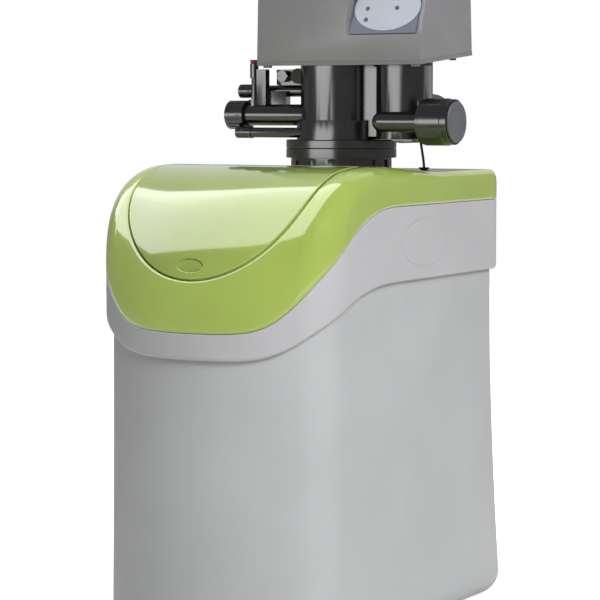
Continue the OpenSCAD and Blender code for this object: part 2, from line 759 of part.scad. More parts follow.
module adapter_ring() {
    color([0.12, 0.12, 0.12]) difference() {
        union() {
            rod(0, vessel_y, neck_z, neck_z + ring_low_h, ring_r);
            rod(0, vessel_y, neck_z - 14, neck_z + 1, skirt_r);
        }
        rod(0, vessel_y, flange_z - 0.2, neck_z + 30, flange_r + seat);
        rod(0, vessel_y, neck_z - 15, neck_z + 30, neck_r + 0.1);
        for (a = [0:24:336]) translate([0, vessel_y, neck_z - 11]) rotate([0, 0, a])
            translate([skirt_r - 2, -4, 0]) cube([6, 8, 9]);
    }
}

module clamp_ring() {
    color([0.11, 0.11, 0.11])
        tube(0, vessel_y, neck_z + ring_low_h + ring_gap, ring_top, ring_r, flange_r + seat);
}

// Port tube with a round elbow, and the stub that its union sits on
module port(x, y, length, wall) {
    bar_x(second_x - 6, x + 3, y, port_z, port_r);
    translate([second_x - 6, y, port_z]) sphere(r = port_r + 0.1);
    bar_x(x + seat, x + length - 6, y, port_z, union_r - wall);
}

module valve_body() {
    wall = 5;
    color([0.12, 0.12, 0.12]) difference() {
        union() {
            rod(0, vessel_y, flange_z, ring_top, flange_r);
            rod(0, collar_y, ring_top - 1, collar_top, collar_r);
            rod(0, column_y, collar_top - 1, ctl_z - 0.5, column_r);
            rod(0, column_y, ctl_z - 1, spigot_top, spigot_r);
            rod(second_x, vessel_y, collar_low + 0.4, ctl_z - 0.7, second_r);
            translate([0, vessel_y - 18, collar_low + 3]) cube([second_x, 20, ctl_z - collar_low - 4.5]);
            port(inlet_x, inlet_y, union_l, wall);
            port(outlet_x, outlet_y, outlet_l, wall);
            bar_y(second_x - 6, inlet_y, outlet_y, port_z, port_r - 0.8);
            bar_y(drum_x, vessel_y - 17, vessel_y + 50, drum_z, drum_r);
            bar_x(injector_cap_l - injector_reach + seat, -10, injector_y, injector_z, injector_r);
            bar_x(injector_cap_l - injector_reach - 8, -30, injector_y, injector_z, injector_r - 2);
            bar_x(10 - drain_reach, -10, drain_y, drain_z, drain_r);
            bar_x(10 - refill_reach, -10, refill_y, refill_z, refill_r);
            translate([pilot_x - 10, drain_y, pilot_z - 9]) cube([-pilot_x, 14, 16]);
            translate([pilot_x - 8, drain_y + 1, drain_z]) cube([-pilot_x, 9, pilot_z - drain_z - 8]);
            rod(brine_x, injector_y, injector_z, injector_z + injector_r + 5, brine_r + 1.5);
            translate([brine_x + brine_r + 0.6, injector_y - 4, injector_z])
                cube([11, 8, ctl_z - injector_z - 3]);
            translate([brine_x + brine_r + 0.6, injector_y + 2, injector_z]) cube([32, 9, drain_z - injector_z]);
        }
        rod(0, column_y, bore_low, spigot_top + 1, bore_r);
        rod(0, vessel_y, flange_z - 1, bore_low + 1, riser_r - 3);
        rod(0, vessel_y, flange_z - 1, flange_z + 12.2, riser_r + 0.05);
        rod(0, vessel_y, flange_z - 1, flange_z + 4.2, riser_r + 2.1);
        bar_x(injector_cap_l - injector_reach - 9, -60, injector_y, injector_z, injector_r - wall);
        bar_x(second_x + 20, inlet_x + union_l, inlet_y, port_z, port_r - 4);
        bar_x(second_x + 20, outlet_x + outlet_l, outlet_y, port_z, port_r - 4);
        for (x = [pilot_x, disc_x]) bar_y(x, drain_y - 1, drain_y + 12, pilot_z, shaft_r + run_gap);
        rod(brine_x, injector_y, injector_z + injector_r - 4, brine_top, brine_r - 1.3);
    }
}

// Barrel that screws on a port, with a raised middle
module union_barrel(x, y, length) {
    difference() {
        union() {
            bar_x(x, x + length, y, port_z, union_r - 0.8);
            bar_x(x + 3, x + length - 7, y, port_z, union_r);
        }
        bar_x(x - 1, x + length + 1, y, port_z, union_r - 4.9);
    }
}

module inlet_union() color([0.11, 0.11, 0.11]) union_barrel(inlet_x, inlet_y, union_l);
module outlet_union() color([0.11, 0.11, 0.11]) union_barrel(outlet_x, outlet_y, outlet_l);

module port_plug(x, y) {
    bar_x(x + 0.1, x + plug_t, y, port_z, union_r - 3);
    bar_x(x - 4, x + 1, y, port_z, union_r - 5.2);
}

module inlet_plug() color([0.40, 0.41, 0.43]) port_plug(inlet_x + union_l, inlet_y);
module outlet_plug() color([0.40, 0.41, 0.43]) port_plug(outlet_x + outlet_l, outlet_y);

// Cap with grooves along its side
module grooved_cap(x0, x1, y, z, r, bore, grooves) {
    difference() {
        union() {
            bar_x(x0 + 2, x1, y, z, r);
            bar_x(x0, x0 + 3, y, z, r - 3);
        }
        bar_x(x1 - 10, x1 + 1, y, z, bore);
        for (k = [0:grooves - 1]) translate([x0 + 6, y, z]) rotate([k * 360 / grooves, 0, 0])
            translate([0, -0.7, r - 0.8]) cube([x1 - x0 - 10, 1.4, 2]);
    }
}

module injector_cap() {
    color([0.10, 0.10, 0.10]) grooved_cap(-injector_reach, injector_cap_l - injector_reach, injector_y, injector_z,
        injector_cap_r, injector_r - 2 + 0.1, 20);
}

module injector_nozzle() {
    color([0.80, 0.30, 0.20]) difference() {
        bar_x(injector_cap_l - injector_reach - 6, -62, injector_y, injector_z, injector_r - 5.1);
        bar_x(injector_cap_l - injector_reach - 7, -61, injector_y, injector_z, 1.5);
    }
}

module drain_cap() {
    color([0.12, 0.12, 0.12])
        grooved_cap(-drain_reach, 19 - drain_reach, drain_y, drain_z, drain_r + 1.2, drain_r + 0.1, 12);
}

module refill_cap() {
    color([0.12, 0.12, 0.12])
        grooved_cap(-refill_reach, 20 - refill_reach, refill_y, refill_z, refill_r + 0.8, refill_r + 0.1, 10);
}

module brine_fitting() {
    socket = 12;
    color([0.11, 0.11, 0.11]) difference() {
        union() {
            rod(brine_x, injector_y, injector_z + injector_r - 3.8, brine_top - 14, brine_r - 1.35);
            rod(brine_x, injector_y, brine_top - 15, brine_top, brine_r);
        }
        rod(brine_x, injector_y, brine_top - socket, brine_top + 1, brine_tube_r + 0.05);
        rod(brine_x, injector_y, brine_top - 4, brine_top + 1, brine_tube_r + 0.8);
        rod(brine_x, injector_y, injector_z, brine_top - 6, brine_tube_r - 1.4);
    }
}

module brine_collet() {
    color([0.78, 0.16, 0.14]) difference() {
        union() {
            rod(brine_x, injector_y, brine_top - 2, brine_top + 2, brine_tube_r + 0.75);
            rod(brine_x, injector_y, brine_top + 1.9, brine_top + 3.9, brine_r);
        }
        rod(brine_x, injector_y, brine_top - 5, brine_top + 5, brine_tube_r + 0.05);
    }
}

module pilot_knob() {
    color([0.09, 0.09, 0.09]) difference() {
        union() {
            bar_y(pilot_x, pilot_y - 7, pilot_y - 0.4, pilot_z, 6);
            bar_y(pilot_x, pilot_y - 1, drain_y + 11, pilot_z, shaft_r);
        }
        translate([pilot_x - 8, pilot_y - 8, pilot_z - 1]) cube([16, 3, 2]);
    }
}

module pilot_disc() {
    color([0.45, 0.46, 0.48]) {
        bar_y(disc_x, pilot_y - 4, pilot_y - 0.2, pilot_z, 8);
        bar_y(disc_x, pilot_y - 1, drain_y + 11, pilot_z, shaft_r + run_gap);
    }
}

module bonnet() {
    color([0.16, 0.16, 0.17]) difference() {
        union() {
            rod(0, column_y, spigot_top - bonnet_l, spigot_top + 0.1, bore_r);
            rod(0, column_y, spigot_top + 0.05, spigot_top + 1.6, spigot_r - 1);
        }
        rod(0, column_y, spigot_top - bonnet_l - 1, spigot_top + 3, rod_r + run_gap);
    }
}

module piston() {
    groove = 2;
    stop_z = spigot_top - bonnet_l - stroke - 0.5;
    color([0.85, 0.85, 0.83]) difference() {
        union() {
            rod(0, column_y, bore_low + 1, bore_low + 1 + piston_l, bore_r - run_gap);
            rod(0, column_y, bore_low + piston_l, gear_z + gear_t + 6, rod_r);
            rod(0, column_y, stop_z - 3, stop_z, rod_r + 6);
        }
        for (z = [5, 13])
            tube(0, column_y, bore_low + z, bore_low + z + groove + 1, bore_r + 1, bore_r - groove);
    }
}

module piston_seals() {
    color([0.07, 0.07, 0.07]) for (z = [5, 13])
        tube(0, column_y, bore_low + z + 0.1, bore_low + z + 2.9, bore_r - run_gap, bore_r - 2 + 0.02);
}

// Spur wheel: trapezoid teeth on a disc
module spur(teeth, bore, phase) {
    pitch_r = teeth * tooth_mod / 2;
    root = pitch_r - 1.1 * tooth_mod;
    tip = pitch_r + 0.75 * tooth_mod;
    step = 360 / teeth;
    difference() {
        linear_extrude(gear_t) polygon([for (k = [0:teeth - 1]) let (a = k * step + phase)
            each [[root * cos(a - step * 0.30), root * sin(a - step * 0.30)],
                [tip * cos(a - step * 0.12), tip * sin(a - step * 0.12)],
                [tip * cos(a + step * 0.12), tip * sin(a + step * 0.12)],
                [root * cos(a + step * 0.30), root * sin(a + step * 0.30)]]]);
        translate([0, 0, -1]) cylinder(h = gear_t + 2, r = bore);
    }
}

module drive_gear() {
    color([0.93, 0.93, 0.90]) translate([0, column_y, gear_z]) spur(gear_teeth, rod_r + run_gap, 0);
}

module motor_pinion() {
    color([0.93, 0.93, 0.90]) {
        translate([0, motor_y, gear_z]) spur(pinion_teeth, motor_shaft_r - 0.5, 0);
        rod(0, motor_y, gear_z, bracket_z + 13, motor_shaft_r);
    }
}

module drive_motor() {
    color([0.55, 0.56, 0.58]) difference() {
        union() {
            rod(0, motor_y, bracket_z + bracket_t + 0.05, bracket_z + bracket_t + motor_h, motor_r);
            rod(0, motor_y, bracket_z + 0.2, bracket_z + bracket_t + 1, 6);
        }
        rod(0, motor_y, bracket_z, bracket_z + 14, motor_shaft_r + run_gap);
    }
}

// Plate over the gear, with two posts on the lip
module motor_bracket() {
    post_x = 24;
    post_y = ctl_y1 - 14;
    color([0.70, 0.71, 0.72]) difference() {
        union() {
            translate([-post_x - 5, motor_y - 10, bracket_z])
                cube([2 * post_x + 10, post_y - motor_y + 15, bracket_t]);
            for (x = [-post_x, post_x]) rod(x, post_y, lip_z(post_y + 4) + 0.2, bracket_z + 1, 4);
        }
        rod(0, motor_y, bracket_z - 1, bracket_z + bracket_t + 1, 6.2);
    }
}

// Top of the lip at depth y
function lip_z(y) = ctl_z + lip_t + ctl_rise * (y - ctl_y0) / ctl_d;

module controller_base() {
    color([0.62, 0.62, 0.63]) difference() {
        slab_x(ctl_x0, ctl_x1, [[ctl_y0, ctl_z], [ctl_y1, ctl_z + ctl_rise], [ctl_y1, cover_low + ctl_rise],
            [ctl_y0, cover_low]]);
        rod(0, column_y, ctl_z - 5, ctl_z + 40, spigot_r + seat);
        rod(cable_x, cable_y, ctl_z - 5, ctl_z + 40, 4);
        for (p = screw_places) rod(p.x, p.y, ctl_z - 5, ctl_z + 40, 1.7);
    }
}

// Upright block of the cover, drawn in by d
module cover_block(d) {
    top_in = d + cover_draft;
    hull() {
        translate([ctl_x0 + d, ctl_y0 + d, ctl_z]) cube([ctl_w - 2 * d, ctl_d - 2 * d, 0.1]);
        translate([ctl_x0 + top_in, ctl_y0 + d, cover_top - d - 0.1])
            cube([ctl_w - 2 * top_in, ctl_d - d - top_in, 0.1]);
    }
}

// Space in front of the leaning panel, moved in by d
module panel_space(d) {
    reach = cover_top + 20 - panel_z;
    slab_x(panel_x - d, ctl_x1 + 20, [[ctl_y0 - 20, panel_z - d], [ctl_y0 + d, panel_z - d],
        [ctl_y0 + d / cos(panel_lean) + reach * tan(panel_lean), cover_top + 20],
        [ctl_y0 - 20, cover_top + 20]]);
}

module controller_cover() {
    color([0.50, 0.50, 0.51]) difference() {
        union() {
            difference() {
                cover_block(0);
                panel_space(0);
                difference() {
                    cover_block(cover_wall);
                    panel_space(cover_wall);
                }
            }
            on_panel() for (x = [8, panel_w - 10]) for (y = [8, 66])
                translate([x, y, -board_back]) cylinder(h = board_back - 1, r = 3, $fn = 24);
            for (p = screw_places) rod(p.x, p.y, lip_z(p.y + 4) + 0.3, lip_z(p.y) + 20, 3.6);
            for (p = screw_places) translate([p.x > 0 ? p.x : ctl_x0 + 1, p.y - 2, lip_z(p.y) + 4])
                cube([p.x > 0 ? ctl_x1 - 2 - p.x : p.x - ctl_x0, 4, 16]);
        }
        slab_x(ctl_x0 - 20, ctl_x1 + 20, [[ctl_y0 - 20, lip_z(ctl_y0 - 20) + 0.15],
            [ctl_y1 + 20, lip_z(ctl_y1 + 20) + 0.15],
            [ctl_y1 + 20, ctl_z - 20], [ctl_y0 - 20, ctl_z - 20]]);
        on_panel() for (x = button_x) translate([x, button_up, -12]) cylinder(h = 24, r = button_r + button_gap);
        for (p = screw_places) rod(p.x, p.y, ctl_z - 5, lip_z(p.y) + 12, 1.5);
    }
}

screw_places = [[ctl_x0 + 9, ctl_y0 + 90], [ctl_x1 - 9, ctl_y0 + 90]];
panel_mid = panel_w / 2;
button_x = [panel_mid - button_pitch, panel_mid, panel_mid + button_pitch];

// Frame on the leaning panel: X along it, Y up it, Z out of it
module on_panel() translate([panel_x, ctl_y0, panel_z]) rotate([90 - panel_lean, 0, 0]) children();

module panel_plate() {
    edge = 3;
    color([0.31, 0.34, 0.43]) on_panel() difference() {
        translate([edge, 2, 0.05]) cube([panel_w - 2 * edge - cover_draft, plate_up, plate_t]);
        for (x = button_x) translate([x, button_up, -1]) cylinder(h = 4, r = button_r + button_gap);
    }
}

module panel_oval() {
    color([0.72, 0.75, 0.81]) on_panel() translate([panel_mid, oval_up, plate_t + 0.1]) difference() {
        linear_extrude(oval_t) scale([oval_w / oval_h, 1]) circle(d = oval_h, $fn = 64);
        for (p = lens_places) translate([p.x, p.y, -1]) cylinder(h = 3, r = lens_r + 0.1, $fn = 24);
    }
}

// Two columns of lenses, with a fifth in the first column
lens_step = 12;
lens_places = [for (row = [0:2]) for (col = [0:1]) if (row > 0 || col == 0)
    [-22 + 33 * col, -13 + lens_step * row]];

module status_lenses() {
    color([0.13, 0.14, 0.18]) on_panel() for (p = lens_places)
        translate([panel_mid + p.x, oval_up + p.y, plate_t + 0.1])
            cylinder(h = oval_t + 0.4, r = lens_r, $fn = 24);
}

module panel_button(x) {
    color([0.80, 0.82, 0.86]) on_panel() {
        translate([x, button_up, -4]) cylinder(h = plate_t + 5.2 + button_travel, r = button_r);
        translate([x, button_up, -5.5]) cylinder(h = 1.8, r = button_r + 1.5);
    }
}

module button_left() panel_button(button_x[0]);
module button_middle() panel_button(button_x[1]);
module button_right() panel_button(button_x[2]);

module circuit_board() {
    color([0.10, 0.38, 0.20]) on_panel() {
        translate([4, 4, -board_back - board_t - 0.1]) cube([panel_w - 12, 84, board_t]);
        for (x = button_x) translate([x - 3, button_up - 3, -board_back - 0.15]) cube([6, 6, 6]);
        translate([24, 20, -board_back - 0.15]) cube([22, 14, 4]);
    }
}

module corner_clips() {
    color([0.80, 0.80, 0.80]) for (x = [ctl_x0 + 5, ctl_x1 - 13])
        translate([x, ctl_y0 + 4, ctl_z - 2]) cube([8, 5, 2.2]);
}

module housing_screws() {
    color([0.12, 0.12, 0.12]) for (p = screw_places) {
        rod(p.x, p.y, lip_z(p.y - 4) - lip_t - 2.4, lip_z(p.y - 4) - lip_t, 3.4);
        rod(p.x, p.y, lip_z(p.y - 4) - lip_t - 0.5, lip_z(p.y) + 10, 1.4);
    }
}

module cable_gland() {
    c = cable_route[0];
    color([0.10, 0.10, 0.10]) difference() {
        union() {
            rod(c.x, c.y, lip_z(c.y) - lip_t - 5, lip_z(c.y) + 3, 3.8);
            rod(c.x, c.y, lip_z(c.y - 6) - lip_t - 4, lip_z(c.y - 6) - lip_t - 0.3, 5.5);
        }
        rod(c.x, c.y, ctl_z - 20, ctl_z + 40, cable_r + seat);
    }
}

module lid_grommet() {
    color([0.10, 0.10, 0.10]) difference() {
        union() {
            rod(grommet_x, cable_y, top_h - 2 * skin_t - 2, top_h + 2, 3.7);
            rod(grommet_x, cable_y, top_h + 0.8, top_h + 2.4, 5.6);
        }
        rod(grommet_x, cable_y, top_h - 10, top_h + 10, cable_r + 0.8);
    }
}

// Round tube along a list of points
module sweep(points, r, sides) {
    n = len(points) - 1;
    way = [for (k = [0:n]) let (v = points[min(k + 1, n)] - points[max(k - 1, 0)]) v / norm(v)];
    rings = [for (k = [0:n]) let (u = cross([0, 1, 0], way[k]), a = u / norm(u), b = cross(way[k], a))
        each [for (j = [0:sides - 1]) points[k] + r * (a * cos(360 * j / sides) + b * sin(360 * j / sides))]];
    walls = [for (k = [0:n - 1]) for (j = [0:sides - 1])
        let (p = k * sides + j, q = k * sides + (j + 1) % sides)
        each [[p, p + sides, q + sides], [p, q + sides, q]]];
    polyhedron(rings, concat([[for (j = [0:sides - 1]) j]], walls, [[for (j = [sides - 1:-1:0]) n * sides + j]]));
}

module sensor_cable() color([0.07, 0.07, 0.07]) sweep(cable_route, cable_r, 8);

cabinet_shell();
rim_band();
side_plates();
lid_cover();
salt_hatch();
thumb_grip();
hatch_pin();
salt_grid();
brine_well();
well_cap();
float_rod();
brine_float();
level_switch();
overflow_elbow();
overflow_nut();
resin_vessel();
vessel_boot();
riser_tube();
lower_strainer();
upper_strainer();
resin_bed();
neck_seal();
riser_seal();
adapter_ring();
clamp_ring();
valve_body();
inlet_union();
outlet_union();
inlet_plug();
outlet_plug();
injector_cap();
injector_nozzle();
drain_cap();
refill_cap();
brine_fitting();
brine_collet();
pilot_knob();
pilot_disc();
bonnet();
piston();
piston_seals();
drive_gear();
motor_pinion();
drive_motor();
motor_bracket();
controller_base();
controller_cover();
panel_plate();
panel_oval();
status_lenses();
button_left();
button_middle();
button_right();
circuit_board();
corner_clips();
housing_screws();
cable_gland();
lid_grommet();
sensor_cable();
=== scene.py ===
# %% [markdown]
# # A cabinet water softener
# A blow moulded tank holds salt and brine, and a resin vessel stands in it at the back. A glossy lid
# closes the tank, and the control valve with its electronic head rises out of that lid. The solids come
# from the construction model. This lesson adds the large smooth skins, the finishes, the light and the
# camera.

import math

import bmesh
import bpy
import numpy as np
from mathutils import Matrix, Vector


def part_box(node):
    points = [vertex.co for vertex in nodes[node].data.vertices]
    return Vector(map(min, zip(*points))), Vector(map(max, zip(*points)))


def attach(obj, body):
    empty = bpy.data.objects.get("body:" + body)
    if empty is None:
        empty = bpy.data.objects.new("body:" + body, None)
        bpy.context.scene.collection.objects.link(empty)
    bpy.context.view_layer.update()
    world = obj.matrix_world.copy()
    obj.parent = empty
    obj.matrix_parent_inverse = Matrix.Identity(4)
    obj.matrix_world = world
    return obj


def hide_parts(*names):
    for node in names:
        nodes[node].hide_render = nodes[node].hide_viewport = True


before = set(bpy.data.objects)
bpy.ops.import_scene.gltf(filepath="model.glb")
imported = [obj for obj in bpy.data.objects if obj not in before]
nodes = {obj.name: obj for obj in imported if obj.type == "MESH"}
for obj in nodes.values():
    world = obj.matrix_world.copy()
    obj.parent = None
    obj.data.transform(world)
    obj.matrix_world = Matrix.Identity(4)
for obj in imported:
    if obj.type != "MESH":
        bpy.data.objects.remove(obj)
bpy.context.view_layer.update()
MM = 0.001

# %% [markdown]
# ## Grids
# Every new skin is a lattice of points from a formula of two parameters. The lattice becomes a mesh of
# four sided faces, corners that fall on the same place are merged, and faces that collapse are dropped.

# %% lattice helpers
def lattice(rows, cols, wrap_rows=False, wrap_cols=False):
    """Corner numbers of the four sided faces of a lattice, which may close on itself either way."""
    r, c = np.meshgrid(np.arange(rows if wrap_rows else rows - 1),
                       np.arange(cols if wrap_cols else cols - 1), indexing="ij")
    r1, c1 = (r + 1) % rows, (c + 1) % cols
    return np.stack([r * cols + c, r * cols + c1, r1 * cols + c1, r1 * cols + c], -1).reshape(-1, 4)


def patches(*parts):
    """Several (points, faces) pairs as one pair, the face numbers moved along."""
    points, faces, start = [], [], 0
    for p, f in parts:
        points.append(p.reshape(-1, 3))
        faces.append(f + start)
        start += p.reshape(-1, 3).shape[0]
    return np.concatenate(points), np.concatenate(faces)


def build(name, points, faces, up=None, sharp=40):
    """Object from points in millimetres. up is a direction that most faces of an open skin look along."""
    mesh = bpy.data.meshes.new(name)
    mesh.from_pydata((points.reshape(-1, 3) * MM).tolist(), [], faces.tolist())
    work = bmesh.new()
    work.from_mesh(mesh)
    bmesh.ops.remove_doubles(work, verts=work.verts, dist=2e-5)
    bmesh.ops.dissolve_degenerate(work, edges=work.edges, dist=1e-6)
    bmesh.ops.recalc_face_normals(work, faces=work.faces)
    if up is not None:
        lean = sum(f.normal.dot(up) * f.calc_area() for f in work.faces)
        if lean < 0:
            bmesh.ops.reverse_faces(work, faces=work.faces)
    work.to_mesh(mesh)
    work.free()
    mesh.shade_smooth()
    mesh.set_sharp_from_angle(angle=math.radians(sharp))
    piece = bpy.data.objects.new(name, mesh)
    bpy.context.scene.collection.objects.link(piece)
    return piece


def thicken(piece, wall):
    """Gives an open skin a wall to its inner side."""
    wall_mod = piece.modifiers.new("wall", "SOLIDIFY")
    wall_mod.thickness = wall * MM
    wall_mod.offset = -1


# %% [markdown]
# ## The outline in plan
# The cabinet's plan is a bowed front, two round front corners, straight sides and tight rear corners. Each
# point keeps its outward direction, so that a ring at any offset follows without a new drawing.

# %% outline of the cabinet
HALF_W, FRONT_Y, REAR_Y = 130.0, -200.0, 210.0
BOW_R, BOW_Y, BOW_A = 205.0, 5.0, math.radians(30)
CORNER_R, CORNER_X, CORNER_Y = 55.0, 75.0, 5.0 - 150 * math.cos(math.radians(30))
REAR_R, REAR_X, SIDE_END = 16.0, 114.0, 194.0
CORNER_S = BOW_R * BOW_A
SIDE_S = CORNER_S + CORNER_R * (math.pi / 2 - BOW_A)
BACK_S = 600.0
RISE_START, RISE_SOFT, RISE_LENGTH, RISE_POWER = 88, 14, 178, 2.2


def outline(bow=20, corner=34, side=70, rear=14, back=10):
    """Closed outline: points, outward directions and distance from the front along it, front first."""
    a = np.linspace(0, BOW_A, bow, endpoint=False)
    b = np.linspace(BOW_A, math.pi / 2, corner, endpoint=False)
    y = np.linspace(CORNER_Y, SIDE_END, side, endpoint=False)
    c = np.linspace(0, math.pi / 2, rear, endpoint=False)
    x = np.linspace(REAR_X, 0, back)
    normal = np.concatenate([
        np.stack([np.sin(a), -np.cos(a)], -1), np.stack([np.sin(b), -np.cos(b)], -1),
        np.tile([1.0, 0.0], (side, 1)), np.stack([np.cos(c), np.sin(c)], -1), np.tile([0.0, 1.0], (back, 1))])
    point = np.concatenate([
        np.stack([BOW_R * np.sin(a), BOW_Y - BOW_R * np.cos(a)], -1),
        np.stack([CORNER_X + CORNER_R * np.sin(b), CORNER_Y - CORNER_R * np.cos(b)], -1),
        np.stack([np.full(side, HALF_W), y], -1),
        np.stack([REAR_X + REAR_R * np.cos(c), SIDE_END + REAR_R * np.sin(c)], -1),
        np.stack([x, np.full(back, REAR_Y)], -1)])
    s = np.concatenate([BOW_R * a, CORNER_S + CORNER_R * (b - BOW_A), SIDE_S + y - CORNER_Y,
                        np.full(rear + back, BACK_S)])
    flip = np.array([-1.0, 1.0])
    return (np.concatenate([point, point[-2:0:-1] * flip]), np.concatenate([normal, normal[-2:0:-1] * flip]),
            np.concatenate([s, s[-2:0:-1]]))


def share(s):
    """Share of the S shaped rise after the length s: a soft start, then one less a power of what is left."""
    ramp = RISE_SOFT * np.log1p(np.exp(np.minimum((s - RISE_START) / RISE_SOFT, 60)))
    return 1 - (1 - np.minimum(1, ramp / RISE_LENGTH)) ** RISE_POWER


def edge_height(s):
    """Height of the band's upper edge after the length s."""
    return 306 + 114 * share(s)


POINT, NORMAL, ALONG = outline()
RIM = 281 + 66 * share(ALONG)
EDGE = edge_height(ALONG)


def ring(offset, height):
    """One ring of the outline, moved outwards by offset and put at height, both may vary along it."""
    flat = POINT + NORMAL * np.broadcast_to(offset, ALONG.shape)[:, None]
    return np.concatenate([flat, np.broadcast_to(height, ALONG.shape)[:, None]], -1)


print("outline points:", len(POINT), "edge from", round(EDGE.min(), 1), "to", round(EDGE.max(), 1))

# %% [markdown]
# ## The tank
# The real tank is blow moulded: a thin even wall, a rounded foot that flares a little towards the floor and
# a lip under the rim band. Rings carried up the outer wall, over the lip and down the inner wall give it.

# %% tank
FOOT_R, SHELL, FLOOR, OVER = 26.0, 4.0, 5.0, 7.0
FLARE_H, FLARE_POWER, FLARE_FRONT, FLARE_MORE = 339, 1.7, 1.5, 12.5
LIP_IN, LIP_LOW, LIP_TOP, WALL_TOP = 4.15, 11, 16, 275


def wall_offset(z):
    """Offset of the tank wall at height z: in by the band's overhang, out in a power curve at the foot."""
    flare = FLARE_FRONT + FLARE_MORE * (POINT[:, 1] - FRONT_Y) / (REAR_Y - FRONT_Y)
    return -OVER + flare * max(0, 1 - z / FLARE_H) ** FLARE_POWER


turn = np.linspace(0, math.pi / 2, 13)[:-1]
levels = np.linspace(FOOT_R, WALL_TOP, 40)
tank_rings = [ring(wall_offset(FOOT_R) - FOOT_R * (1 - math.sin(a)), FOOT_R * (1 - math.cos(a)))
              for a in turn]
tank_rings += [ring(wall_offset(z), z) for z in levels]
tank_rings += [ring(-OVER, RIM + LIP_LOW), ring(-LIP_IN, RIM + LIP_LOW), ring(-LIP_IN, RIM + LIP_TOP),
               ring(-OVER - SHELL, RIM + LIP_TOP)]
tank_rings += [ring(wall_offset(z) - SHELL, z) for z in levels[::-3]]
tank_rings += [ring(wall_offset(FOOT_R) - SHELL, FOOT_R + FLOOR), ring(wall_offset(FOOT_R) - FOOT_R, FLOOR)]
tank_points = np.stack(tank_rings)
centre = np.array([0.0, 20.0, 0.0])
under, inside = tank_points[:1] * [0, 0, 1] + centre, tank_points[-1:] * [0, 0, 1] + centre
tank_points = np.concatenate([under, tank_points, inside])
tank = build("tank_skin", tank_points, lattice(len(tank_points), len(POINT), wrap_cols=True))
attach(tank, "cabinet")
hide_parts("cabinet_shell")
print("tank faces:", len(tank.data.polygons))

# %% [markdown]
# ## The rim band
# The band hangs over the tank with a soft lower edge, and its upper edge carries the lid. One closed profile
# is carried round the outline; its heights follow the two S shaped edges.

# %% band
BAND_WALL, ROUND, EDGE_ROUND = 4.0, 5.0, 0.8
SHELF_IN, SHELF_LOW, SHELF_TOP = 10, 16.3, 19.3
curl = np.linspace(0, math.pi / 2, 9)
band_rings = [ring(-BAND_WALL, RIM)]
band_rings += [ring(-ROUND * 0.7 * (1 - math.sin(a)), RIM + ROUND * (1 - math.cos(a))) for a in curl]
band_rings += [ring(0, RIM + ROUND + (EDGE - EDGE_ROUND - RIM - ROUND) * t)
               for t in np.linspace(0, 1, 14)[1:]]
band_rings += [ring(-EDGE_ROUND * (1 - math.cos(a)), EDGE - EDGE_ROUND * (1 - math.sin(a)))
               for a in curl[2::2]]
band_rings += [ring(-BAND_WALL, EDGE), ring(-BAND_WALL, RIM + SHELF_TOP), ring(-SHELF_IN, RIM + SHELF_TOP),
               ring(-SHELF_IN, RIM + SHELF_LOW), ring(-BAND_WALL, RIM + SHELF_LOW)]
band_points = np.stack(band_rings)
band = build("rim_band_skin", band_points, lattice(len(band_points), len(POINT), True, True))
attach(band, "cabinet")
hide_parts("rim_band")
print("band faces:", len(band.data.polygons))

# %% [markdown]
# ## The lid
# The lid rises from the S shaped edge in full quarter curves to a crest, and falls gently from there to the
# valve. Seen from the front, the hatch is a half disc, so each column of the front ends on that circle.

# %% lid surface
CREST_Y, HATCH_Z, HATCH_R, HATCH_GAP, SKIN = -50.0, 459.0, 102.0, 0.9, 2.5
NECK_Y, NECK_HOLE, SEAM_GAP, BACK_ROUND = 97.0, 60.0, 0.5, 9.0
FULL, TOP_Z, CREST_RISE = 0.78, 451, 8


def ease(t):
    """Goes from 0 to 1 with level ends."""
    t = np.clip(t, 0, 1)
    return t * t * (3 - 2 * t)


def fall(over, r):
    """How far a rounded edge of radius r has fallen where it has gone over by that much."""
    over = np.clip(over, 0, r)
    return r - np.sqrt(r * r - over * over)


def front_at(x, d=0.0):
    """Depth of the outline's front at x, moved out by d: bow in the middle, then the corner's circle."""
    a = np.abs(x)
    bow = BOW_Y - np.sqrt(np.maximum((BOW_R + d) ** 2 - a * a, 0))
    corner = CORNER_Y - np.sqrt(np.maximum((CORNER_R + d) ** 2 - (a - CORNER_X) ** 2, 0))
    return np.where(a < (BOW_R + d) * math.sin(BOW_A), bow, corner)


def edge_at(x):
    """Height of the band's upper edge under the front of the outline at x."""
    a = np.minimum(np.abs(x), HALF_W)
    bow = BOW_R * np.arcsin(np.minimum(a / BOW_R, 1))
    corner = CORNER_S + CORNER_R * (np.arcsin(np.clip((a - CORNER_X) / CORNER_R, -1, 1)) - BOW_A)
    return edge_height(np.where(a < BOW_R * math.sin(BOW_A), bow, corner))


def back_at(x):
    """Depth of the outline's back at x, with the rear corner's circle."""
    return SIDE_END + np.sqrt(np.maximum(REAR_R ** 2 - np.maximum(np.abs(x) - REAR_X, 0) ** 2, 0))


def top_at(x, y):
    """Height of the lid's top: the middle line, less the rounded side edge, less the rounded back edge."""
    side = 20 - 10 * ease((y - CREST_Y) / 110)
    middle = TOP_Z + CREST_RISE * (1 - ease((y - CREST_Y) / 140))
    return middle - fall(np.abs(x) - HALF_W + side, side) - fall(y - back_at(x) + BACK_ROUND, BACK_ROUND)


def front_surface(x, phi, d=0.0):
    """Point on the full quarter curve over x at the angle phi, on the skin moved out by d.

    Depth goes with one less the cosine to the power FULL, height with the sine to that power.
    """
    x0 = x * HALF_W / (HALF_W + d)
    low, high, f = edge_at(x0), top_at(x0, CREST_Y), front_at(x, d)
    ahead, up = 1 - np.maximum(np.cos(phi), 0) ** FULL, np.maximum(np.sin(phi), 0) ** FULL
    return np.stack([x + 0 * phi, f + (CREST_Y - f) * ahead, low + (high - low) * up + d], -1)


